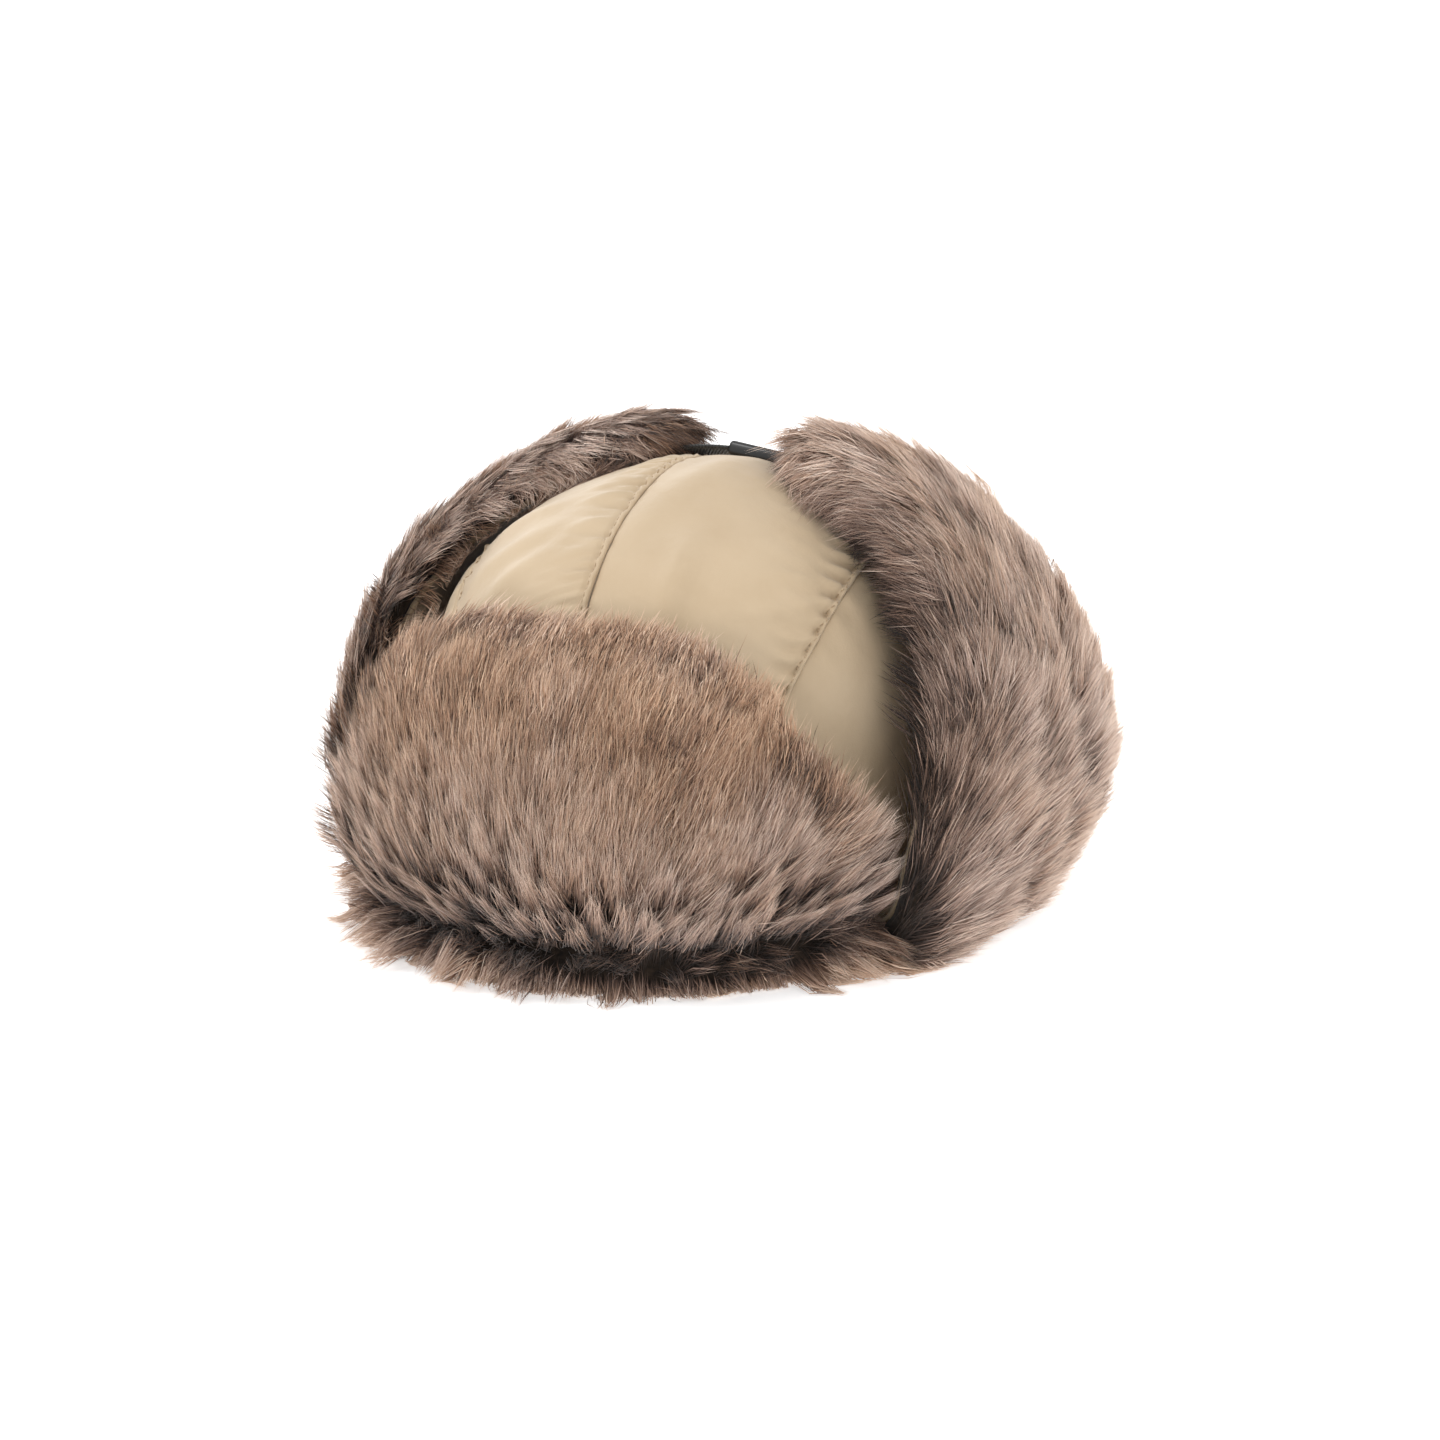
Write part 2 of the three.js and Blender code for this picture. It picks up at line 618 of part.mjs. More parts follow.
// The crown as one full solid, a little larger than the crown
function crownCoreSolid() {
  const rings = 16;
  const sides = 40;
  const points = [];
  const triangles = [];
  for (let j = 0; j < rings; j += 1) {
    const row = rowAt(CROWN, j / rings);
    const section = grownSection(row.height, CORE_CLEARANCE);
    if (j === 0) section.height = 0.5;
    else section.height += CORE_CLEARANCE;
    for (let i = 0; i < sides; i += 1) points.push(ovalPoint(section, (i * 360) / sides));
  }
  const top = points.length;
  points.push(new THREE.Vector3(0, 0, CROWN[CROWN.length - 1].height + CORE_CLEARANCE + 1));
  points.push(new THREE.Vector3(0, 0, 0.5));
  for (let i = 0; i < sides; i += 1) {
    const next = (i + 1) % sides;
    for (let j = 0; j < rings - 1; j += 1) {
      const [a, b] = [j * sides, (j + 1) * sides];
      triangles.push(a + i, a + next, b + next, a + i, b + next, b + i);
    }
    const last = (rings - 1) * sides;
    triangles.push(last + i, last + next, top, next, i, top + 1);
  }
  return solidOf(closedGeometry(points, triangles));
}

const hat = new THREE.Group();

function addPiece(name, geometry, color, roughness) {
  const material = new THREE.MeshStandardMaterial({ color, roughness, metalness: 0 });
  const mesh = new THREE.Mesh(geometry, material);
  mesh.name = name;
  hat.add(mesh);
}

const NYLON = 0xcdb595;
const FUR = 0x7d6452;
const BLACK = 0x1b1d1b;

addPiece('crown_top_left', topPanel(1), NYLON, 0.6);
addPiece('crown_top_right', topPanel(-1), NYLON, 0.6);
addPiece('crown_side_left', sidePanel(1), NYLON, 0.6);
addPiece('crown_side_right', sidePanel(-1), NYLON, 0.6);

const mirrored = (plan) => plan.map(([x, y]) => [-x, y]);
const bothHalves = (plan) => [...plan, ...mirrored(plan).reverse()];
const crownCore = crownCoreSolid();

function addFlap(name, flap, outer, grid, locks, plan, seed) {
  const [columns, lines] = grid;
  addPiece(`${name}_cloth`, flapCloth(flap, columns, lines - 1), NYLON, 0.6);
  const beyond = (u, v, off) => {
    const wide = mix(-0.01, 1.01, u);
    const point = flapAt(flap, wide, v, off);
    const up = flap(wide, v).sub(flap(wide, v - 0.02)).normalize();
    return v === 1 ? point.addScaledVector(up, SEAT_GAP) : point;
  };
  const inside = (u, v) => beyond(u, v, -CLOTH_THICKNESS);
  const outside = (u, v) => beyond(u, v, CLOTH_THICKNESS + SEAT_GAP);
  const clothSpace = slabGeometry(columns, lines - 1, inside, outside);
  const pile = solidOf(pileBody(flap, outer, columns, lines));
  const fur = trimmed(pile.add(locksOver(outer, locks, seed).subtract(solidOf(clothSpace))), plan);
  addPiece(`${name}_fur`, geometryOf(fur), FUR, 0.95);
}

const leftPile = wallPile(earFlapLeft, 10, 0.5, 0.05);
const rightPile = wallPile(earFlapRight, 10, 0.05, 0.5);
const neckPile = wallPile(neckFlap, 8, 0.05, 0.05);
addFlap('front_flap', frontCloth, frontPile, [18, 9], FRONT_LOCKS, bothHalves(FRONT_PLAN), 1);
addFlap('ear_flap_left', earFlapLeft, leftPile, [10, 10], EAR_LEFT_LOCKS, EAR_PLAN, 340);
addFlap('ear_flap_right', earFlapRight, rightPile, [10, 10], EAR_RIGHT_LOCKS, mirrored(EAR_PLAN), 600);
addFlap('neck_flap', neckFlap, neckPile, [14, 8], NECK_LOCKS, bothHalves(NECK_PLAN), 900);

// Strap: its left part is sewn down the cloth side of the left ear flap and crosses to the
// clasp, and its right part goes from the clasp to the tip of the right ear flap
const lean = radians(STRAP_LEAN);
const fall = radians(CLASP_FALL);
const strapWide = new THREE.Vector3(0, Math.cos(lean), -Math.sin(lean));
const claspAlong = new THREE.Vector3(Math.cos(fall), 0, -Math.sin(fall));
const claspEnd = CLASP_START.clone().addScaledVector(claspAlong, CLASP_LENGTH);

// A point across and through the strap where it lies over the crown
function strapPoint(middle, along, v, part) {
  const thick = along.clone().cross(strapWide).normalize();
  const point = middle.clone().addScaledVector(strapWide, (v - 0.5) * STRAP_WIDTH);
  return point.addScaledVector(thick, part * STRAP_THICKNESS);
}

function leftStrap() {
  const sewn = 9;
  const free = 4;
  const steps = sewn + free;
  const onFlap = (part, v, depth) => {
    const up = mix(LEFT_STRAP_FOOT, 1, part);
    const width = earFlapLeft(0, up).distanceTo(earFlapLeft(1, up));
    const u = mix(LEFT_STRAP_PLACE, 0.5, part) + ((v - 0.5) * STRAP_WIDTH) / width;
    return flapAt(earFlapLeft, u, up, -STITCH_GAP - depth * STRAP_THICKNESS);
  };
  const toClasp = claspEnd.clone().addScaledVector(claspAlong, STRAP_SEAT);
  const point = (u, v, depth) => {
    const step = Math.round(u * steps);
    if (step <= sewn) return onFlap(step / sewn, v, depth);
    return onFlap(1, v, depth).lerp(strapPoint(toClasp, claspAlong, v, 0.5 - depth), (step - sewn) / free);
  };
  return slabGeometry(steps, 2, (u, v) => point(u, v, 1), (u, v) => point(u, v, 0));
}

function rightStrap() {
  const start = CLASP_START.clone().addScaledVector(claspAlong, -STRAP_SEAT);
  const middle = start.clone().lerp(RIGHT_STRAP_END, 0.5).add(new THREE.Vector3(0, 0, 1));
  const path = new THREE.CatmullRomCurve3([RIGHT_STRAP_END, middle, start]);
  const point = (u, v, part) => strapPoint(path.getPoint(u), path.getTangent(u), v, part);
  return slabGeometry(8, 1, (u, v) => point(u, v, -0.5), (u, v) => point(u, v, 0.5));
}

function claspGeometry() {
  const [x, y] = [CLASP_LENGTH / 2 - CLASP_CORNER, CLASP_WIDTH / 2 - CLASP_CORNER];
  const outline = new THREE.Shape();
  outline.absarc(x, y, CLASP_CORNER, 0, Math.PI / 2);
  outline.absarc(-x, y, CLASP_CORNER, Math.PI / 2, Math.PI);
  outline.absarc(-x, -y, CLASP_CORNER, Math.PI, 1.5 * Math.PI);
  outline.absarc(x, -y, CLASP_CORNER, 1.5 * Math.PI, 2 * Math.PI);
  return new THREE.ExtrudeGeometry(outline, {
    depth: CLASP_THICKNESS - 2 * CLASP_BEVEL,
    bevelThickness: CLASP_BEVEL,
    bevelSize: CLASP_BEVEL,
    bevelOffset: -CLASP_BEVEL,
    bevelSegments: 1,
    curveSegments: 3,
  }).translate(0, 0, CLASP_BEVEL - CLASP_THICKNESS / 2);
}

addPiece('strap_left', leftStrap(), BLACK, 0.5);
addPiece('strap_right', rightStrap(), BLACK, 0.5);
addPiece('strap_clasp', claspGeometry(), BLACK, 0.35);
const clasp = hat.children[hat.children.length - 1];
clasp.position.copy(CLASP_START).addScaledVector(claspAlong, CLASP_LENGTH / 2);
clasp.rotation.set(-lean, fall, 0);

hat.children.forEach((mesh) => mesh.position.sub(WHOLE_MIDDLE));

export default hat;
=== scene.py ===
"""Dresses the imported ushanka: sewn cloth, long pile, strap and clasp, with its stage."""

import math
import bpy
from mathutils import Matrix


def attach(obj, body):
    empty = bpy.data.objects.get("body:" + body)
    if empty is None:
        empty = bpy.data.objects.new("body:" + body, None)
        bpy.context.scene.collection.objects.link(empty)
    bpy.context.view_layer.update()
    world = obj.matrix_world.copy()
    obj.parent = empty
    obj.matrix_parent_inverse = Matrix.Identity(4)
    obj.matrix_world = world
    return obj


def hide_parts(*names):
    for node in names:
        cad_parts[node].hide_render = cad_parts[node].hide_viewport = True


bl_info = {
    "name": "Ushanka",
    "version": (1, 0, 0),
    "blender": (4, 5, 0),
    "location": "View3D > Sidebar > Ushanka",
    "description": "Builds the cloth, pile and strap of a ushanka round its CAD frame",
    "category": "Object",
}

from collections.abc import Callable
from typing import NamedTuple

import bpy
import numpy as np
from mathutils import Vector

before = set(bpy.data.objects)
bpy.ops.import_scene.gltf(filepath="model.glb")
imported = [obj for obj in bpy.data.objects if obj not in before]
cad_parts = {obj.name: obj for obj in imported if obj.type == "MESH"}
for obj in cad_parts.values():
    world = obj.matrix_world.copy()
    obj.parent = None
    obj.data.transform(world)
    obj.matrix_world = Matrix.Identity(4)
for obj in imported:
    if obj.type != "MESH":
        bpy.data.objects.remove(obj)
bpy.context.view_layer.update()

MM = 0.001
WHOLE_MIDDLE = np.array([5.6, 0.7, 0.0]) * MM  # of the finished hat, from the crown's middle

RIM_HEIGHT = 12 * MM
CROWN_THICKNESS = 3 * MM
CLOTH_THICKNESS = 2.4 * MM
PILE_SEAT = 0.4 * MM  # between a flap's cloth and its pile
SEAM_GAP = 0.1 * MM  # between two sewn pieces
WALL_LEFT_END = 131.0  # degrees round from the front, where the left ear flap meets the neck flap
FRONT_HALF_ANGLE = 68.0
FRONT_ROUNDING = 0.7


def table(names, rows, lengths=()):
    """Columns by name. Those in lengths are given in millimetres and kept in metres."""
    values = np.array(rows, float)
    return {
        name: values[:, k] * (MM if name in lengths else 1.0)
        for k, name in enumerate(names.split())
    }


OVAL = ("height", "left", "right", "front", "back")
CROWN = table(
    "height left right front back",
    [
        (12, 89, 89, 105, 105),
        (50, 92, 92, 102, 106),
        (85, 92, 92, 91.5, 103),
        (110, 89, 87, 80.5, 97),
        (127, 83, 79, 72, 87),
        (139, 74, 65, 63, 72),
        (150, 60, 47, 50, 55),
        (160, 42, 28, 32, 35),
        (166, 25, 13, 15, 17),
        (168, 0, 0, 0, 0),
    ],
    OVAL,
)
SIDE_SEAM = table(
    "around height",
    [
        (38, 24),
        (42, 55),
        (48, 86),
        (56, 110),
        (71, 129),
        (92, 137),
        (112, 131),
        (128, 112),
        (140, 78),
        (147, 24),
    ],
    ("height",),
)
FRONT_FLAP = table(
    "height off",
    [
        (11.5, -3.5),
        (12.2, 2),
        (20, 4.5),
        (34, 4.5),
        (50, 4),
        (66, 4),
        (82, 4.5),
        (98, 5),
        (112, 6),
    ],
    ("height", "off"),
)
FRONT_PILE = table(
    "height off",
    [
        (0, 25),
        (8, 30),
        (19, 20.5),
        (33, 27),
        (47, 30),
        (66, 32),
        (86, 32),
        (104, 29),
        (117, 18),
    ],
    ("height", "off"),
)
WALL_NAMES = "height side front back square skew"
WALL_LENGTHS = ("height", "side", "front", "back")
WALL_LEFT = table(
    WALL_NAMES,
    [
        (11.5, 85.5, 101.5, 101.5, 2, 0),
        (12.2, 95, 110, 112, 2, 0),
        (20, 111, 118, 125, 2.3, 0.06),
        (42, 118, 122, 131, 2.8, 0.12),
        (73, 117, 121, 129, 3, 0.12),
        (104, 110, 115, 116, 2.8, 0.08),
        (129, 98, 106, 102, 2.6, 0.03),
        (149, 81, 98, 90, 2.5, 0),
        (163, 64, 92, 80, 2.3, 0),
        (171, 49, 86, 74, 2.2, 0),
    ],
    WALL_LENGTHS,
)
WALL_RIGHT = table(
    WALL_NAMES,
    [
        (11.5, 85.5, 101.5, 101.5, 2, 0),
        (12.2, 95, 110, 112, 2, 0),
        (20, 104, 117, 121, 2.2, 0),
        (42, 108, 121, 126, 2.5, 0),
        (73, 108, 120, 125, 2.6, 0),
        (104, 101, 113, 117, 2.6, 0),
        (126, 87, 104, 104, 2.6, 0),
        (145, 65, 96, 94, 2.5, 0),
        (159, 41, 88, 86, 2.3, 0),
        (166.5, 22, 82, 80, 2.2, 0),
    ],
    WALL_LENGTHS,
)
EAR_LEFT = table(
    "start end",
    [
        (72, 131),
        (72, 131),
        (73, 131),
        (77, 131),
        (84, 130),
        (87, 127),
        (88.5, 122),
        (90, 117),
        (91, 113),
        (93, 110),
    ],
)
EAR_RIGHT = table(
    "start end",
    [
        (72, 131),
        (72, 131),
        (72, 131),
        (72, 131),
        (75, 130),
        (79, 127),
        (84, 124),
        (89, 120),
        (94, 120),
        (100, 120),
    ],
)
PILE_FOOT = table("height off", [(0, 23), (8, 27)], ("height", "off"))
FUR_PILE = 21 * MM
FLAP_GAP_ANGLE = 1.1


# Shared forms


def mix(a, b, part):
    return a + (b - a) * part


def unit(vectors):
    return vectors / np.maximum(np.linalg.norm(vectors, axis=-1, keepdims=True), 1e-12)


def row_at(columns, along):
    """Every column of a table at any place along it, 0 at its first row and 1 at its last."""
    count = len(next(iter(columns.values())))
    place = np.clip(along, 0, 1) * (count - 1)
    index = np.minimum(place.astype(int), count - 2)
    part = place - index
    before = np.maximum(index - 1, 0)
    after = np.minimum(index + 2, count - 1)
    square = part * part
    cube = square * part

    def smooth(values):
        slope_from = (values[index + 1] - values[before]) / 2
        slope_to = (values[after] - values[index]) / 2
        return (
            (2 * cube - 3 * square + 1) * values[index]
            + (cube - 2 * square + part) * slope_from
            + (3 * square - 2 * cube) * values[index + 1]
            + (cube - square) * slope_to
        )

    return {name: smooth(values) for name, values in columns.items()}


def oval_point(row, around):
    """A point of an oval section, at an angle round from the front toward the wearer's left."""
    power = 2 / row.get("square", 2.0)
    across = np.sin(np.radians(around))
    ahead = np.cos(np.radians(around))
    half_width = np.where(across > 0, row["left"], row["right"])
    half_length = np.where(ahead > 0, row["front"], row["back"])
    x = np.sign(across) * half_width * np.abs(across) ** power
    y = -np.sign(ahead) * half_length * np.abs(ahead) ** power
    lean = np.where(x > 0, row.get("skew", 0.0) * y * x / np.maximum(half_width, 1e-9), 0.0)
    height = np.broadcast_to(row["height"], x.shape)
    return np.stack([x + lean, y, height], axis=-1)


def section_at(columns, height):
    """The section of a table at each height."""
    low = np.zeros(np.shape(height))
    high = np.ones(np.shape(height))
    for _ in range(24):
        middle = (low + high) / 2
        below = row_at(columns, middle)["height"] < height
        low = np.where(below, middle, low)
        high = np.where(below, high, middle)
    return row_at(columns, low)


def crown_hit(direction, inset=0.0):
    """Where rays from the crown's foot leave the crown, drawn in by a thickness."""
    low = np.zeros(direction.shape[:-1])
    high = np.ones(direction.shape[:-1])

    def place(along):
        row = row_at(CROWN, along)
        height = row["height"] - inset * np.minimum(1, along * 3)
        scale = height / direction[..., 2]
        x = direction[..., 0] * scale
        y = direction[..., 1] * scale
        half_width = np.maximum(np.where(x > 0, row["left"], row["right"]) - inset, 1e-5)
        half_length = np.maximum(np.where(y < 0, row["front"], row["back"]) - inset, 1e-5)
        return np.stack([x, y, height], axis=-1), np.hypot(x / half_width, y / half_length)

    for _ in range(30):
        middle = (low + high) / 2
        inside = place(middle)[1] < 1
        low = np.where(inside, middle, low)
        high = np.where(inside, high, middle)
    return place(low)[0]


def grown_section(height, off):
    row = section_at(CROWN, np.maximum(height, RIM_HEIGHT))
    for name in ("left", "right", "front", "back"):
        row[name] = row[name] + off
    row["height"] = height
    return row


def waves(points, size, seed):
    """Smooth unevenness between about -1 and 1, with features of about one size in metres."""
    rng = np.random.default_rng(seed)
    total = np.zeros(points.shape[:-1])
    count = 7
    for _ in range(count):
        direction = unit(rng.normal(size=3))
        length = size * rng.uniform(1.4, 2.8)
        phase = rng.uniform(0, 2 * math.pi)
        total += np.sin(points @ direction * (2 * math.pi / length) + phase)
    return total / math.sqrt(count) * 1.2


# Flaps: each gives a point of its cloth at u along the fold and v up the flap


def front_reach(u):
    out = np.abs(2 * u - 1)
    return 1 - FRONT_ROUNDING * np.clip((out - 0.22) / 0.78, 0, 1) ** 1.8


def front_cloth(u, v):
    row = row_at(FRONT_FLAP, v * front_reach(u))
    around = mix(-FRONT_HALF_ANGLE, FRONT_HALF_ANGLE, u)
    return oval_point(grown_section(row["height"], row["off"]), around)


def front_pile(u, v):
    row = row_at(FRONT_PILE, v * front_reach(u))
    around = mix(-FRONT_HALF_ANGLE, FRONT_HALF_ANGLE, u)
    sink = 0.75 * np.clip(v * 2 - 0.3, 0.1, 1) * np.abs(2 * u - 1) ** 6
    off = mix(row["off"], FRONT_FLAP["off"][4] + 6 * MM, sink)
    return oval_point(grown_section(row["height"], off), around)


def wall_point(around, along):
    left = row_at(WALL_LEFT, along)
    right = row_at(WALL_RIGHT, along)
    to_right = np.clip((around - WALL_LEFT_END) / (360 - 2 * WALL_LEFT_END), 0, 1)
    row = {name: mix(left[name], right[name], to_right) for name in left}
    row["left"] = row["side"]
    row["right"] = row["side"]
    return oval_point(row, around)


def ear_reach(u):
    return 1 - 0.05 * np.abs(2 * u - 1) ** 3


def ear_left_cloth(u, v):
    along = v * ear_reach(u)
    row = row_at(EAR_LEFT, along)
    return wall_point(mix(row["start"], row["end"], u), along)


def ear_right_cloth(u, v):
    along = v * ear_reach(u)
    row = row_at(EAR_RIGHT, along)
    return wall_point(mix(360 - row["end"], 360 - row["start"], u), along)


def neck_cloth(u, v):
    along = v * (0.56 + 0.22 * np.abs(2 * u - 1) ** 1.6)
    left = row_at(EAR_LEFT, along)["end"] + FLAP_GAP_ANGLE
    right = 360 - row_at(EAR_RIGHT, along)["end"] - FLAP_GAP_ANGLE
    return wall_point(mix(left, right, u), along)


def flap_normal(flap, u, v, step=0.02):
    up = flap(u, np.minimum(v + step, 1)) - flap(u, np.maximum(v - step, 0))
    across = flap(np.minimum(u + step, 1), v) - flap(np.maximum(u - step, 0), v)
    return unit(np.cross(across, up))


def flap_at(flap, u, v, off):
    return flap(u, v) + flap_normal(flap, u, v) * np.asarray(off)[..., None]


def wall_pile(flap, lines, start_edge, end_edge):
    """Outer face of the pile on a flap of the wall, from the surface up."""
    first = 2 / lines

    def edge_share(u, up):
        sink = np.where(u < 0.5, start_edge, end_edge) * np.clip(up * 3 - 0.5, 0.1, 1)
        return 1 - sink * np.abs(2 * u - 1) ** 5

    def pile(u, v):
        up = mix(0.16, 1.0, np.clip((v - first) / (1 - first), 0, 1))
        tip = 1 - 0.55 * np.clip((up - 0.7) / 0.3, 0, 1) ** 2
        high = flap_at(flap, u, up, FUR_PILE * edge_share(u, up) * tip)
        normal = flap_normal(flap, u, up) * np.array([1.0, 1.0, 0.0])
        place = np.clip(v / first * 2, 0, 1)
        off = mix(PILE_FOOT["off"][0], PILE_FOOT["off"][1], place) * edge_share(u, up)
        low = flap(u, up) + unit(normal) * off[..., None]
        low[..., 2] = mix(PILE_FOOT["height"][0], PILE_FOOT["height"][1], place)
        rise = np.clip(v / first * 2 - 1, 0, 1)[..., None]
        return mix(low, high, rise)

    return pile


LEFT_PILE = wall_pile(ear_left_cloth, 10, 0.5, 0.05)
RIGHT_PILE = wall_pile(ear_right_cloth, 10, 0.05, 0.5)
NECK_PILE = wall_pile(neck_cloth, 8, 0.05, 0.05)


def pile_inner(flap, lines):
    """Inner face of the pile: up from the surface, then along the cloth."""

    def inner(u, v):
        up = np.clip((v * lines - 1) / (lines - 1), 0, 1)
        face = flap_at(flap, u, up, np.full(np.shape(u), CLOTH_THICKNESS + PILE_SEAT))
        face[..., 2] *= np.clip(v * lines, 0, 1)
        return face

    return inner


# Meshes


def mesh_object(name, points, faces, uvs=None):
    """An object from points and faces of one size. uvs has one pair for each face corner."""
    corners = faces.shape[1]
    mesh = bpy.data.meshes.new(name)
    mesh.vertices.add(len(points))
    mesh.vertices.foreach_set("co", (points - WHOLE_MIDDLE).astype(np.float32).ravel())
    mesh.loops.add(faces.size)
    mesh.loops.foreach_set("vertex_index", faces.astype(np.int32).ravel())
    mesh.polygons.add(len(faces))
    starts = np.arange(0, faces.size, corners, dtype=np.int32)
    mesh.polygons.foreach_set("loop_start", starts)
    mesh.polygons.foreach_set("use_smooth", np.ones(len(faces), bool))
    if uvs is not None:
        layer = mesh.uv_layers.new(name="OFBake")
        layer.data.foreach_set("uv", uvs.astype(np.float32).ravel())
    mesh.update(calc_edges=True)
    obj = bpy.data.objects.new(name, mesh)
    bpy.context.scene.collection.objects.link(obj)
    return obj


def grid_places(columns, lines):
    u, v = np.meshgrid(np.linspace(0, 1, columns + 1), np.linspace(0, 1, lines + 1), indexing="ij")
    return u, v


def grid_faces(columns, lines, start=0, turned=False):
    at = start + np.arange((columns + 1) * (lines + 1)).reshape(columns + 1, lines + 1)
    faces = np.stack([at[:-1, :-1], at[1:, :-1], at[1:, 1:], at[:-1, 1:]], axis=-1).reshape(-1, 4)
    return faces[:, ::-1] if turned else faces


def slab_object(name, inner, outer):
    """A closed wall between two grids of points of the same size."""
    columns, lines = outer.shape[0] - 1, outer.shape[1] - 1
    count = (columns + 1) * (lines + 1)
    points = np.concatenate([outer.reshape(-1, 3), inner.reshape(-1, 3)])
    at = np.arange(count).reshape(columns + 1, lines + 1)
    rim = np.concatenate([at[:, 0], at[-1, 1:], at[-2::-1, -1], at[0, -2:0:-1]])
    following = np.roll(rim, -1)
    side = np.stack([following, rim, rim + count, following + count], axis=-1)
    faces = np.concatenate(
        [grid_faces(columns, lines), grid_faces(columns, lines, count, turned=True), side]
    )
    obj = mesh_object(name, points, faces)
    mesh = obj.data
    corners = points[faces]
    volume = np.einsum(
        "ij,ij->i", corners[:, 0], np.cross(corners[:, 1], corners[:, 2])
    ).sum() + np.einsum("ij,ij->i", corners[:, 0], np.cross(corners[:, 2], corners[:, 3])).sum()
    if volume < 0:
        mesh.flip_normals()
    return obj


def wear(obj, material, slot, *nodes):
    """Gives a piece its material and body, and hides the CAD nodes that it stands for. Its slot is
    not used.
    """
    obj.data.materials.clear()
    obj.data.materials.append(material)
    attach(obj, "root")
    if nodes:
        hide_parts(*nodes)
    return obj


# Materials


def linear(red, green, blue):
    """A colour as a picture gives it, 0 to 255, as the shader needs it."""
    values = np.array([red, green, blue]) / 255
    bent = np.where(values <= 0.04045, values / 12.92, ((values + 0.055) / 1.055) ** 2.4)
    return (*bent.tolist(), 1.0)


def new_material(name, roughness, sheen=0.0, specular=0.4):
    material = bpy.data.materials.new(name)
    material.use_nodes = True
    shader = material.node_tree.nodes["Principled BSDF"]
    shader.inputs["Roughness"].default_value = roughness
    shader.inputs["Sheen Weight"].default_value = sheen
    shader.inputs["Specular IOR Level"].default_value = specular
    return material, shader


def add_node(material, kind, place, **settings):
    node = material.node_tree.nodes.new(kind)
    node.location = place
    for key, value in settings.items():
        setattr(node, key, value)
    return node


def ramp_node(material, place, stops):
    node = add_node(material, "ShaderNodeValToRGB", place)
    elements = node.color_ramp.elements
    while len(elements) < len(stops):
        elements.new(0.5)
    for element, (position, color) in zip(elements, stops):
        element.position = position
        element.color = color
    return node


def fur_material():
    """Hairs whose colour runs from a dark root to a light tip, each with its own tone."""
    material, shader = new_material("fur_hair", 0.6, sheen=0.2, specular=0.25)
    links = material.node_tree.links
    uv = add_node(material, "ShaderNodeUVMap", (-1100, 0), uv_map="OFBake")
    split = add_node(material, "ShaderNodeSeparateXYZ", (-900, 0))
    links.new(uv.outputs["UV"], split.inputs["Vector"])
    brown = ramp_node(
        material,
        (-700, 200),
        [
            (0.0, linear(24, 20, 17)),
            (0.3, linear(92, 66, 49)),
            (0.65, linear(170, 131, 103)),
            (1.0, linear(226, 194, 164)),
        ],
    )
    grey = ramp_node(
        material,
        (-700, -100),
        [
            (0.0, linear(26, 24, 22)),
            (0.3, linear(96, 77, 68)),
            (0.65, linear(180, 153, 139)),
            (1.0, linear(242, 224, 210)),
        ],
    )
    blend = add_node(material, "ShaderNodeMix", (-400, 0), data_type="RGBA")
    links.new(split.outputs["Y"], brown.inputs["Fac"])
    links.new(split.outputs["Y"], grey.inputs["Fac"])
    links.new(split.outputs["X"], blend.inputs["Factor"])
    links.new(brown.outputs["Color"], blend.inputs["A"])
    links.new(grey.outputs["Color"], blend.inputs["B"])
    links.new(blend.outputs["Result"], shader.inputs["Base Color"])
    return material


def undercoat_material():
    material, shader = new_material("fur_undercoat", 0.9, sheen=0.1, specular=0.1)
    links = material.node_tree.links
    place = add_node(material, "ShaderNodeTexCoord", (-1000, 0))
    noise = add_node(material, "ShaderNodeTexNoise", (-800, 0))
    noise.inputs["Scale"].default_value = 450
    noise.inputs["Detail"].default_value = 4
    ramp = ramp_node(
        material, (-550, 0), [(0.3, linear(20, 17, 15)), (0.7, linear(52, 42, 34))]
    )
    links.new(place.outputs["Object"], noise.inputs["Vector"])
    links.new(noise.outputs["Fac"], ramp.inputs["Fac"])
    links.new(ramp.outputs["Color"], shader.inputs["Base Color"])
    return material


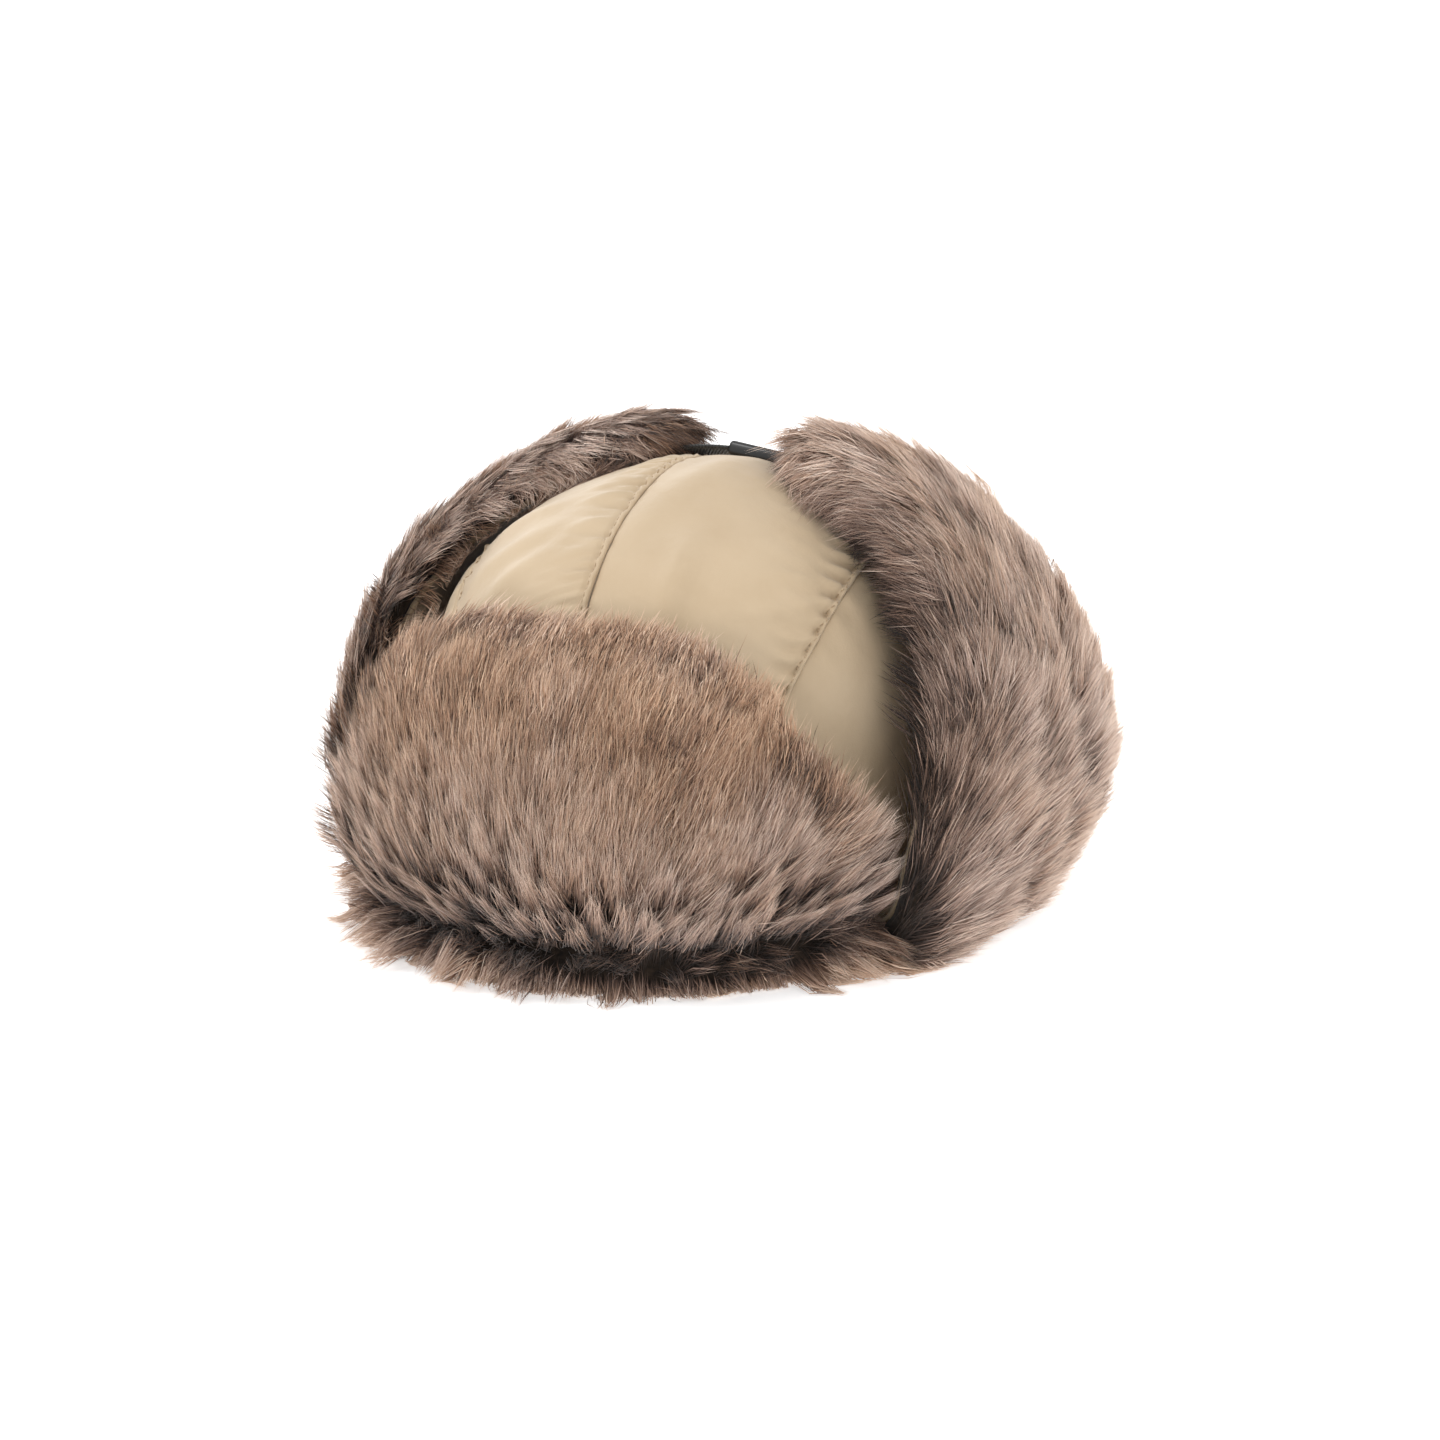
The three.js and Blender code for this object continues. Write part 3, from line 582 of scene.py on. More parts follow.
def nylon_material(name, dark, light):
    """Beige woven nylon: a fine weave in its bump and a little unevenness in its colour."""
    material, shader = new_material(name, 0.62, sheen=0.25, specular=0.35)
    links = material.node_tree.links
    place = add_node(material, "ShaderNodeTexCoord", (-1200, 0))
    cloud = add_node(material, "ShaderNodeTexNoise", (-950, 200))
    cloud.inputs["Scale"].default_value = 38
    cloud.inputs["Detail"].default_value = 5
    ramp = ramp_node(material, (-650, 200), [(0.3, dark), (0.7, light)])
    links.new(place.outputs["Object"], cloud.inputs["Vector"])
    links.new(cloud.outputs["Fac"], ramp.inputs["Fac"])
    links.new(ramp.outputs["Color"], shader.inputs["Base Color"])
    weave = add_node(material, "ShaderNodeTexNoise", (-950, -150))
    weave.inputs["Scale"].default_value = 2200
    weave.inputs["Detail"].default_value = 2
    crease = add_node(material, "ShaderNodeTexNoise", (-950, -350))
    crease.inputs["Scale"].default_value = 95
    crease.inputs["Detail"].default_value = 3
    links.new(place.outputs["Object"], weave.inputs["Vector"])
    links.new(place.outputs["Object"], crease.inputs["Vector"])
    soft = add_node(material, "ShaderNodeBump", (-500, -350))
    soft.inputs["Strength"].default_value = 0.35
    soft.inputs["Distance"].default_value = 0.0016
    fine = add_node(material, "ShaderNodeBump", (-250, -200))
    fine.inputs["Strength"].default_value = 0.25
    fine.inputs["Distance"].default_value = 0.0002
    links.new(crease.outputs["Fac"], soft.inputs["Height"])
    links.new(weave.outputs["Fac"], fine.inputs["Height"])
    links.new(soft.outputs["Normal"], fine.inputs["Normal"])
    links.new(fine.outputs["Normal"], shader.inputs["Normal"])
    return material


def thread_material():
    """Sewing thread, a little darker than the cloth."""
    material, shader = new_material("sewing_thread", 0.5, sheen=0.3, specular=0.4)
    links = material.node_tree.links
    place = add_node(material, "ShaderNodeTexCoord", (-900, 0))
    twist = add_node(material, "ShaderNodeTexNoise", (-700, 0))
    twist.inputs["Scale"].default_value = 1500
    ramp = ramp_node(
        material, (-450, 0), [(0.3, linear(150, 126, 98)), (0.7, linear(186, 162, 130))]
    )
    links.new(place.outputs["Object"], twist.inputs["Vector"])
    links.new(twist.outputs["Fac"], ramp.inputs["Fac"])
    links.new(ramp.outputs["Color"], shader.inputs["Base Color"])
    return material


def strap_material():
    material, shader = new_material("strap_webbing", 0.5, sheen=0.2, specular=0.5)
    shader.inputs["Base Color"].default_value = linear(30, 31, 29)
    links = material.node_tree.links
    place = add_node(material, "ShaderNodeTexCoord", (-900, 0))
    rib = add_node(material, "ShaderNodeTexWave", (-700, 0), bands_direction="DIAGONAL")
    rib.inputs["Scale"].default_value = 420
    rib.inputs["Distortion"].default_value = 0.6
    bump = add_node(material, "ShaderNodeBump", (-400, 0))
    bump.inputs["Strength"].default_value = 0.6
    bump.inputs["Distance"].default_value = 0.0004
    links.new(place.outputs["Object"], rib.inputs["Vector"])
    links.new(rib.outputs["Fac"], bump.inputs["Height"])
    links.new(bump.outputs["Normal"], shader.inputs["Normal"])
    return material


def clasp_material():
    material, shader = new_material("clasp_plastic", 0.32, specular=0.5)
    links = material.node_tree.links
    place = add_node(material, "ShaderNodeTexCoord", (-900, 0))
    grain = add_node(material, "ShaderNodeTexNoise", (-700, 0))
    grain.inputs["Scale"].default_value = 900
    ramp = ramp_node(material, (-450, 0), [(0.3, linear(14, 14, 14)), (0.7, linear(24, 24, 23))])
    links.new(place.outputs["Object"], grain.inputs["Vector"])
    links.new(grain.outputs["Fac"], ramp.inputs["Fac"])
    links.new(ramp.outputs["Color"], shader.inputs["Base Color"])
    return material


def floor_material():
    material, shader = new_material("pale_floor", 0.8, specular=0.1)
    shader.inputs["Base Color"].default_value = (0.93, 0.93, 0.93, 1)
    shader.inputs["Emission Color"].default_value = (1.0, 1.0, 1.0, 1)
    shader.inputs["Emission Strength"].default_value = 0.5
    return material


# Crown

STITCH_PLACE = 2.3 * MM  # from the seam to its row of stitches
STITCH_PITCH = 2.7 * MM
STITCH_LENGTH = 1.9 * MM
THREAD_RADIUS = 0.3 * MM
TOP_SWELL = {1: 3.6 * MM, -1: 2.2 * MM}  # of the wearer's left and right top panel
SIDE_SWELL = 2.6 * MM
CLASP_BED = np.array([22, 24]) * MM  # from the crown's middle, where it rises to the clasp
CLASP_BED_REACH = 24 * MM
CLASP_BED_RISE = 1.6 * MM

# Soft folds in the top panels: side is 1 for the wearer's left panel, t runs from front to back,
# v from the middle seam to the side seam, turn is the fold's angle from the seam's direction,
# and reach, width and height are in millimetres
FOLDS = table(
    "side t v turn reach width height",
    [
        (1, 0.3, 0.36, -4, 16, 5, 3),
        (1, 0.3, 0.5, 4, 16, 6, -2),
        (1, 0.36, 0.82, 74, 15, 3.2, 1.9),
        (1, 0.4, 0.8, 80, 13, 3, 1.8),
        (1, 0.46, 0.25, 15, 24, 8, 1.8),
        (-1, 0.29, 0.46, -50, 22, 4.5, 2.2),
        (-1, 0.34, 0.56, -56, 22, 4.5, 2),
        (-1, 0.4, 0.6, -60, 22, 4, 1.8),
        (-1, 0.29, 0.12, -62, 9, 2.6, 1.7),
        (-1, 0.33, 0.12, -64, 10, 2.6, 1.9),
        (-1, 0.37, 0.13, -66, 10, 2.8, 1.9),
        (-1, 0.41, 0.14, -70, 9, 2.8, 1.6),
    ],
    ("reach", "width", "height"),
)


def rim_point(around, side):
    row = {name: CROWN[name][0] for name in OVAL}
    return oval_point(row, side * around)


def side_seam_point(t, side):
    """A place on a side seam: t is 0 and 1 at the rim, and the seam itself lies between."""
    count = 18.0
    step = t * count
    part = np.clip((step - 1) / (count - 2), 0, 1)
    row = row_at(SIDE_SEAM, part)
    low = np.minimum(step, count - step)
    height = np.where(low < 1, mix(RIM_HEIGHT, row["height"], np.clip(low, 0, 1)), row["height"])
    return oval_point(section_at(CROWN, height), side * row["around"])


def middle_seam_point(t):
    part = 2 * t - 1
    reach = np.sin(part * math.pi / 2)
    row = row_at(CROWN, 1 - np.abs(part) ** 1.15)
    y = np.where(reach > 0, row["back"], -row["front"])
    return np.stack([np.zeros_like(y), y, row["height"]], axis=-1)


def pucker(distance, along, seed, reach, size):
    """Short ripples that start at a seam and die away from it."""
    rng = np.random.default_rng(seed)
    total = np.zeros(np.shape(distance))
    for _ in range(4):
        length = size * rng.uniform(0.8, 1.7)
        phase = rng.uniform(0, 2 * math.pi)
        slant = rng.uniform(-0.5, 0.5)
        total += np.sin((along + slant * distance) * 2 * math.pi / length + phase)
    fade = np.exp(-distance / reach) * np.clip(distance / (0.15 * reach), 0, 1)
    return total / 2 * fade


def lengths_along(points, axis):
    """Distance along a grid of points from its first row, in metres."""
    steps = np.linalg.norm(np.diff(points, axis=axis), axis=-1)
    start = np.zeros_like(np.take(steps, [0], axis=axis))
    return np.cumsum(np.concatenate([start, steps], axis=axis), axis=axis)


def grid_normals(points):
    across = np.gradient(points, axis=0)
    up = np.gradient(points, axis=1)
    return unit(np.cross(across, up))


def declare_cut(smooth):
    """Finds the greatest width and length of a sheet's smooth form, a grid of points
    before wadding, puckers and folds lift it. Nothing is done with them."""
    width = lengths_along(smooth, 1)[:, -1].max()
    length = lengths_along(smooth, 0)[-1].max()


def denser_ends(x, share):
    """Moves evenly spaced places toward both ends."""
    return x - share * np.sin(2 * math.pi * x) / (2 * math.pi)


def stitched_ridge(distance):
    """The side of a seam whose allowance is sewn down: a ridge, then the dip of its stitches."""
    ridge = 0.75 * MM * np.exp(-(((distance - 0.9 * MM) / (1.0 * MM)) ** 2))
    dip = 0.85 * MM * np.exp(-(((distance - STITCH_PLACE - 0.3 * MM) / (0.9 * MM)) ** 2))
    return ridge - dip


def plain_edge(distance):
    """The other side of a seam, drawn in under the ridge."""
    return -0.35 * MM * np.exp(-((distance / (1.5 * MM)) ** 2))


def folds_at(side, t, v, aside, along):
    """Height of the soft folds of one top panel, over a grid of places in it."""
    total = np.zeros(np.shape(t))
    for k in np.flatnonzero(FOLDS["side"] == side):
        fold = {name: values[k] for name, values in FOLDS.items()}
        row = np.abs(t[:, 0] - fold["t"]).argmin()
        column = np.abs(v[0] - fold["v"]).argmin()
        x = aside - aside[row, column]
        y = along - along[row, column]
        turn = math.radians(fold["turn"])
        lengthwise = y * math.cos(turn) + x * math.sin(turn)
        across = x * math.cos(turn) - y * math.sin(turn)
        fade = np.exp(-((lengthwise / fold["reach"]) ** 2) - (across / fold["width"]) ** 2)
        total += fold["height"] * fade
    return total


def smooth_top(side):
    """A top panel before it swells: t from front to back, v from middle seam to side seam."""
    t, v = grid_places(210, 42)
    v = denser_ends(v, 0.72)
    seam = middle_seam_point(t)
    seam[..., 0] += side * SEAM_GAP / 2
    edge = side_seam_point(t, side)
    gap = SEAM_GAP / 2 / np.linalg.norm(edge - seam, axis=-1)
    points = crown_hit(mix(seam, edge, mix(gap, 1 - gap, v)[..., None]))
    corner = np.where(t < 0.5, SIDE_SEAM["around"][0], SIDE_SEAM["around"][-1])
    start = np.where(t < 0.5, 0.1, 179.9)
    at_rim = rim_point(mix(start, corner, v), side)
    near_rim = np.clip(1 - np.minimum(t, 1 - t) * 18, 0, 1)[..., None]
    return t, v, mix(points, at_rim, near_rim)


def top_panel(side, sizes):
    """Outer face of a top panel, the directions out of it and its smooth form."""
    t, v, points = smooth_top(side)
    out = grid_normals(points)
    out *= np.sign((out * unit(points)).sum(-1, keepdims=True))
    from_middle = lengths_along(points, 1)
    to_side = from_middle[:, -1:] - from_middle
    along = lengths_along(points, 0)
    raise_by = TOP_SWELL[side] * np.sin(math.pi * v) ** 0.7 * np.sin(math.pi * t) ** 0.5
    raise_by += stitched_ridge(to_side)
    depth = sizes.pucker_depth
    if side < 0:
        raise_by += stitched_ridge(from_middle)
        raise_by += depth * pucker(from_middle, along, 11, 12 * MM, 5.5 * MM)
        raise_by += 0.6 * depth * pucker(to_side, along, 12, 10 * MM, 6 * MM)
    else:
        raise_by += plain_edge(from_middle)
        raise_by += 0.25 * depth * pucker(from_middle, along, 13, 6 * MM, 7 * MM)
        raise_by += depth * pucker(to_side, along, 14, 15 * MM, 5.5 * MM)
    raise_by += folds_at(side, t, v, from_middle, along)
    from_bed = np.linalg.norm(points[..., :2] - CLASP_BED, axis=-1)
    raise_by += CLASP_BED_RISE * np.exp(-((from_bed / CLASP_BED_REACH) ** 2))
    calm = np.clip(np.minimum(t, 1 - t) * 12, 0, 1)
    raise_by += 0.6 * MM * waves(points, 26 * MM, 21 + side) * calm
    raise_by += 0.16 * MM * waves(points, 10 * MM, 31 + side) * calm
    return points + out * raise_by[..., None], out, points


def smooth_side(side):
    """A side panel before it swells: u from front to back, v from the rim to its seam."""
    u, v = grid_places(110, 30)
    v = denser_ends(v, 0.6)
    gap = 0.05  # degrees
    around = mix(SIDE_SEAM["around"][0] + gap, SIDE_SEAM["around"][-1] - gap, u)
    bottom = rim_point(around, side)
    row = row_at(SIDE_SEAM, u)
    place = np.clip(row["around"], SIDE_SEAM["around"][0] + gap, SIDE_SEAM["around"][-1] - gap)
    top = oval_point(section_at(CROWN, row["height"]), side * place)
    stop = 1 - SEAM_GAP / np.linalg.norm(top - bottom, axis=-1)
    points = crown_hit(mix(bottom, top, (v * stop)[..., None]))
    return u, v, mix(bottom, points, np.clip(v * 5, 0, 1)[..., None])


def side_panel(side, sizes):
    """Outer face of a side panel, the directions out of it and its smooth form."""
    u, v, points = smooth_side(side)
    out = grid_normals(points)
    out *= np.sign((out * unit(points * [1, 1, 0])).sum(-1, keepdims=True))
    up = lengths_along(points, 1)
    to_seam = up[:, -1:] - up
    along = lengths_along(points, 0)
    raise_by = SIDE_SWELL * np.sin(math.pi * v) * np.sin(math.pi * u)
    raise_by += plain_edge(to_seam)
    raise_by += 0.35 * sizes.pucker_depth * pucker(to_seam, along, 41 + side, 8 * MM, 9 * MM)
    raise_by += 0.5 * MM * waves(points, 24 * MM, 51 + side) * np.clip(v * 4, 0, 1)
    return points + out * raise_by[..., None], out, points


def line_beside(points, distance, last):
    """A line over a grid of points at one distance from its first or last line of points."""
    gone = lengths_along(points, 1)
    if last:
        gone = gone[:, -1:] - gone
        points, gone = points[:, ::-1], gone[:, ::-1]
    rows = [
        [np.interp(distance, gone[k], points[k, :, axis]) for axis in range(3)]
        for k in range(len(points))
    ]
    return np.array(rows)


def stitches_object(name, lines):
    """Threads of one length along lines of points: each a rounded hexagonal rod."""
    starts, ends = [], []
    for line in lines:
        gone = np.concatenate([[0], np.cumsum(np.linalg.norm(np.diff(line, axis=0), axis=1))])
        at = np.arange(2 * MM, gone[-1] - 4 * MM, STITCH_PITCH)
        for place, into in ((at, starts), (at + STITCH_LENGTH, ends)):
            into.append(np.stack([np.interp(place, gone, line[:, k]) for k in range(3)], axis=1))
    start, end = np.concatenate(starts), np.concatenate(ends)
    along = unit(end - start)
    out = unit(start - np.array([0, 0, 40 * MM]))
    aside = unit(np.cross(along, out))
    out = np.cross(aside, along)
    rings = []
    for part, wide in ((0.0, 0.1), (0.18, 1.0), (0.82, 1.0), (1.0, 0.1)):
        middle = mix(start, end, part) + out * (0.12 * MM * wide)
        for side in range(6):
            turn = side * math.pi / 3
            reach = aside * math.cos(turn) + out * 0.8 * math.sin(turn)
            rings.append(middle + reach * (THREAD_RADIUS * wide))
    points = np.stack(rings, axis=1)
    ring = np.arange(6)
    following = (ring + 1) % 6
    faces = [
        np.stack([k + ring, k + following, k + 6 + following, k + 6 + ring], axis=1)
        for k in (0, 6, 12)
    ]
    faces.append(np.array([[0, 5, 4, 3], [0, 3, 2, 1], [18, 19, 20, 21], [18, 21, 22, 23]]))
    faces = np.concatenate(faces)
    faces = (np.arange(len(start))[:, None, None] * 24 + faces).reshape(-1, 4)
    return mesh_object(name, points.reshape(-1, 3), faces)


class USHANKA_OT_crown(bpy.types.Operator):
    """Build the crown's two top panels and two side panels with their sewn seams"""

    bl_idname = "ushanka.crown"
    bl_label = "Build crown"

    def execute(self, context):
        sizes = context.scene.ushanka
        cloth = nylon_material("crown_nylon", linear(186, 164, 134), linear(194, 173, 144))
        lines = []
        for side, word in ((1, "left"), (-1, "right")):
            for kind, panel in (("top", top_panel), ("side", side_panel)):
                outer, out, smooth = panel(side, sizes)
                inner = outer - out * CROWN_THICKNESS
                obj = slab_object(f"crown_{kind}_panel_{word}", inner, outer)
                wear(obj, cloth, "crown_cloth", f"crown_{kind}_{word}")
                declare_cut(smooth)
                if kind == "top":
                    lines.append(line_beside(outer, STITCH_PLACE, last=True)[16:-16])
                    if side < 0:
                        lines.append(line_beside(outer, STITCH_PLACE, last=False)[4:-4])
        threads = stitches_object("crown_topstitching", lines)
        wear(threads, thread_material(), "crown_cloth")
        return {"FINISHED"}


# Flaps: how the pile of each is combed

COMB_NAMES = "at lean fan rise fall size draw middle tip tone"
# Each row is a place up the pile: lean is the angle that the hair is combed to, from straight
# up the flap toward its end, fan what the flap's two ends add, rise and fall the hair's angle
# off the pile at its root and its tip, and size its share of a full length. draw is how much of
# a tuft's width is left at its tip, middle and tip are how light the hair is there, and tone
# runs from 0, warm brown, to 1, grey with a touch of pink
FRONT_COMB = table(
    COMB_NAMES,
    [
        (0.0, 180, -34, 54, 16, 0.95, 0.6, 1.0, 1.0, 0.4),
        (0.1, 180, -32, 48, 8, 1.0, 0.4, 1.0, 1.0, 0.45),
        (0.15, 180, -26, 50, 12, 0.95, 0.3, 0.7, 1.0, 0.6),
        (0.195, 180, -16, 58, 34, 0.55, 0.3, 0.05, 0.6, 0.7),
        (0.275, 0, 26, 58, 34, 0.55, 0.3, 0.02, 0.5, 0.7),
        (0.33, 0, 32, 48, 14, 1.05, 0.22, 0.05, 1.0, 0.75),
        (0.4, 0, 32, 44, 8, 1.15, 0.25, 0.22, 1.0, 0.65),
        (0.5, 0, 30, 42, 6, 1.05, 0.5, 0.32, 1.0, 0.55),
        (0.6, 0, 26, 36, 5, 0.85, 0.95, 0.4, 0.92, 0.3),
        (0.72, 0, 24, 34, 4, 0.75, 1.0, 0.36, 0.82, 0.1),
        (0.88, 0, 24, 34, 0, 0.75, 1.0, 0.5, 0.96, 0.1),
        (1.0, 0, 26, 30, -12, 0.75, 0.95, 0.58, 1.0, 0.15),
    ],
)
EAR_COMB = table(
    COMB_NAMES,
    [
        (0.0, 130, 20, 56, 26, 0.8, 0.8, 0.85, 1.0, 0.75),
        (0.15, 105, 16, 44, 12, 0.95, 0.75, 0.72, 1.0, 0.85),
        (0.28, 82, 22, 40, 10, 1.1, 0.75, 0.48, 1.0, 0.85),
        (0.4, 52, 36, 38, 10, 1.1, 0.8, 0.38, 1.0, 0.75),
        (0.55, 24, 36, 36, 8, 1.0, 0.9, 0.4, 0.98, 0.65),
        (0.72, 6, 34, 36, 8, 0.95, 0.9, 0.46, 0.98, 0.65),
        (0.88, 0, 38, 34, 0, 0.9, 0.8, 0.6, 1.0, 0.75),
        (1.0, 0, 44, 30, -8, 0.85, 0.75, 0.66, 1.0, 0.75),
    ],
)
PARTING = 0.24  # place up the front flap and the neck flap where their pile parts
# Share of the tufts kept near the parting, by the place up the flap from it
THINNED = table("away share", [(-0.1, 0.8), (-0.07, 0.25), (0.07, 0.25), (0.09, 0.6), (0.28, 1)])
NECK_COMB = table(
    COMB_NAMES,
    [
        (0.0, 180, 0, 60, 30, 0.65, 0.8, 0.62, 1.0, 0.8),
        (0.12, 180, 0, 48, 14, 0.8, 0.7, 0.45, 1.0, 0.8),
        (0.2, 180, 0, 54, 20, 0.8, 0.6, 0.22, 0.95, 0.7),
        (0.238, 180, 0, 66, 46, 0.55, 0.55, 0.08, 0.7, 0.6),
        (0.262, 0, 14, 66, 46, 0.55, 0.55, 0.08, 0.7, 0.6),
        (0.32, 0, 24, 54, 22, 1.0, 0.6, 0.26, 0.95, 0.55),
        (0.5, 0, 24, 38, 8, 0.9, 0.9, 0.48, 0.86, 0.3),
        (1.0, 0, 24, 32, -10, 0.85, 0.85, 0.58, 1.0, 0.1),
    ],
)


class Flap(NamedTuple):
    """The faces of a flap, and how its pile is combed."""

    name: str
    cloth: Callable  # a point of its cloth at u, v
    pile: Callable  # a point of the outer face of its pile at u, v
    lines: int  # rows of the pile up the flap, the first of them below the cloth
    comb: dict
    turn: int  # -1 where the flap runs from the rear forward and is combed in mirror image
    edge_painted_shade: tuple  # painted shade: lightness kept by the deepest tufts at its edges, low and high up the flap
    edge_shares: tuple  # of the edge tufts: at its start, at its end and along its top
    past_edge: float  # how far edge tufts turn out past their edge
    tuck: float  # how far the deepest edge tufts turn in toward the cloth
    tufts: int  # over its face at a density of 1, before some are left out


# The edge shade of each flap below is painted shade in the colour of its edge tufts
FLAPS = (
    Flap(
        name="front_flap",
        cloth=front_cloth,
        pile=front_pile,
        lines=9,
        comb=FRONT_COMB,
        turn=1,
        edge_painted_shade=(0.5, 0.5),
        edge_shares=(0.32, 0.32, 0.36),
        past_edge=0.55,
        tuck=0.0,
        tufts=3700,
    ),
    Flap(
        name="ear_flap_left",
        cloth=ear_left_cloth,
        pile=LEFT_PILE,
        lines=10,
        comb=EAR_COMB,
        turn=1,
        edge_painted_shade=(0.1, 0.1),
        edge_shares=(0.46, 0.18, 0.36),
        past_edge=0.3,
        tuck=0.35,
        tufts=2450,
    ),
    Flap(
        name="ear_flap_right",
        cloth=ear_right_cloth,
        pile=RIGHT_PILE,
        lines=10,
        comb=EAR_COMB,
        turn=-1,
        edge_painted_shade=(0.9, 0.1),
        edge_shares=(0.18, 0.46, 0.36),
        past_edge=0.3,
        tuck=0.9,
        tufts=2000,
    ),
    Flap(
        name="neck_flap",
        cloth=neck_cloth,
        pile=NECK_PILE,
        lines=8,
        comb=NECK_COMB,
        turn=1,
        edge_painted_shade=(0.5, 0.5),
        edge_shares=(0.32, 0.32, 0.36),
        past_edge=0.55,
        tuck=0.0,
        tufts=2100,
    ),
)


# Flap cloth

SWAY_LIMIT = 0.3 * MM  # of the cloth toward its pile
SWAY_ROOM = 0.4 * MM  # left for it in the cloth's thickness


class USHANKA_OT_flap_cloth(bpy.types.Operator):
    """Build the cloth side of the four flaps"""

    bl_idname = "ushanka.flap_cloth"
    bl_label = "Build flap cloth"

    def execute(self, context):
        # Painted shade: the flaps' cloth is the crown's beige nylon, painted darker for the shade
        # in the gap between the flaps and the crown
        nylon = nylon_material("flap_nylon", linear(138, 119, 95), linear(152, 132, 107))
        for flap in FLAPS:
            u, v = grid_places(48, 26)
            u = mix(0.012, 0.988, u)
            v = 0.98 * v
            smooth = flap.cloth(u, v)
            out = flap_normal(flap.cloth, u, v)
            calm = np.sin(math.pi * u) * np.sin(math.pi * v)
            seed = len(flap.name)  # differs from flap to flap
            sway = 0.5 * MM * waves(smooth, 24 * MM, seed) * calm
            inner = smooth + out * np.minimum(sway, SWAY_LIMIT)[..., None]
            outer = inner + out * (CLOTH_THICKNESS - SWAY_ROOM)
            obj = slab_object(f"{flap.name}_nylon", inner, outer)
            wear(obj, nylon, "flap_cloth", f"{flap.name}_cloth")
            declare_cut(smooth)
        return {"FINISHED"}


# Fur

COAT_SHARE = 0.55  # of the pile's depth, filled by the undercoat on which most tufts stand
HAIRS_IN_TUFT = 37
WILD_SHARE = 0.05  # of the hairs, whose tips stray
PALE_SHARE = 0.12  # of the hairs, which are lighter than their tuft
PALE_LIFT = 0.35
HAIR_TRIANGLES_IN_PIECE = 190000
FLOOR_CLEARANCE = 1.2 * MM  # below this a hair is laid on the floor
CROWN_CLEARANCE = 4.5 * MM  # round the crown's section, for the swell of its panels
CROWN_CLEARED_TO = 160 * MM  # above this hair is left as it lies
CROWN_LAST_SECTION = 167 * MM  # just below its highest point
NO_EDGE, START_EDGE, END_EDGE, TOP_EDGE = -1, 0, 1, 2


class Tufts(NamedTuple):
    """The tufts of a flap. Each field has one value, place or direction for each tuft."""

    u: np.ndarray
    v: np.ndarray
    depth: np.ndarray  # of its root in the pile, from 0 at the cloth to 1 at the outer face
    edge: np.ndarray  # the edge of the flap that it stands on
    root: np.ndarray
    outer: np.ndarray  # the outer face of the pile over its root
    up: np.ndarray
    across: np.ndarray
    out: np.ndarray
    row: np.ndarray  # place up the comb
    comb: dict  # the comb's columns at that place


class Hairs(NamedTuple):
    """The hairs of a flap. Each field has one value, place or direction for each hair."""

    root: np.ndarray
    waist: np.ndarray
    tip: np.ndarray
    out: np.ndarray
    tone: np.ndarray
    waist_light: np.ndarray
    tip_light: np.ndarray


def front_row(u, v):
    """Place up the front flap's comb: its parting sags a little toward the wearer's left."""
    return v * front_reach(u) + 0.085 * np.exp(-(((u - 0.74) / 0.11) ** 2))


def comb_row(flap, u, v):
    return front_row(u, v) if flap.comb is FRONT_COMB else v


def scatter(rng, surface, count):
    """Places u, v spread evenly over a surface's area."""
    columns, lines = 90, 60
    u, v = grid_places(columns, lines)
    points = surface(u, v)
    a = points[1:, :-1] - points[:-1, :-1]
    b = points[:-1, 1:] - points[:-1, :-1]
    area = np.linalg.norm(np.cross(a, b), axis=-1).ravel()
    total = np.cumsum(area) / area.sum()
    draws = (np.arange(count) + rng.uniform(0, 1, count)) / count
    cell = np.searchsorted(total, draws)
    cell = np.minimum(cell, len(area) - 1)
    i, j = np.divmod(cell, lines)
    return (i + rng.uniform(0, 1, count)) / columns, (j + rng.uniform(0, 1, count)) / lines


def thin_out(flap, rng, u, v):
    """Leaves out tufts near the parting, which only the front flap and the neck flap have."""
    if flap.comb is EAR_COMB:
        return u, v
    share = np.interp(comb_row(flap, u, v) - PARTING, THINNED["away"], THINNED["share"])
    kept = rng.uniform(0, 1, len(u)) < share
    return u[kept], v[kept]


def place_tufts(flap, rng, count):
    """Spreads tufts over a flap's pile, and one for every five of them along its edges."""
    u, v = thin_out(flap, rng, *scatter(rng, flap.pile, count))
    on_face = len(u)
    on_edges = on_face // 5
    edge = rng.choice(3, on_edges, p=flap.edge_shares)
    place = rng.uniform(0, 1, on_edges)
    depth = rng.uniform(0, 1, on_edges) ** 0.7
    edge_u = np.where(edge == START_EDGE, 0.004, np.where(edge == END_EDGE, 0.996, place))
    edge_v = np.where(edge == TOP_EDGE, 0.996, place)
    return (
        np.concatenate([u, edge_u]),
        np.concatenate([v, edge_v]),
        np.concatenate([np.full(on_face, COAT_SHARE), depth]),
        np.concatenate([np.full(on_face, NO_EDGE), edge]),
    )


def comb_tufts(flap, u, v, depth, edge):
    """Finds for each tuft the pile's directions and its row of the comb."""
    step = 0.015
    pile = flap.pile
    outer = pile(u, v)
    root = mix(pile_inner(flap.cloth, flap.lines)(u, v), outer, depth[:, None])
    up = unit(pile(u, np.minimum(v + step, 1)) - pile(u, np.maximum(v - step, 0)))
    across = unit(pile(np.minimum(u + step, 1), v) - pile(np.maximum(u - step, 0), v))
    out = unit(np.cross(across, up))
    row = comb_row(flap, u, v)
    if flap.comb is not EAR_COMB:
        row = row + 0.024 * waves(outer * [1, 1, 0], 15 * MM, 70)
    comb = {name: np.interp(row, flap.comb["at"], flap.comb[name]) for name in flap.comb}
    return Tufts(u, v, depth, edge, root, outer, up, across, out, row, comb)


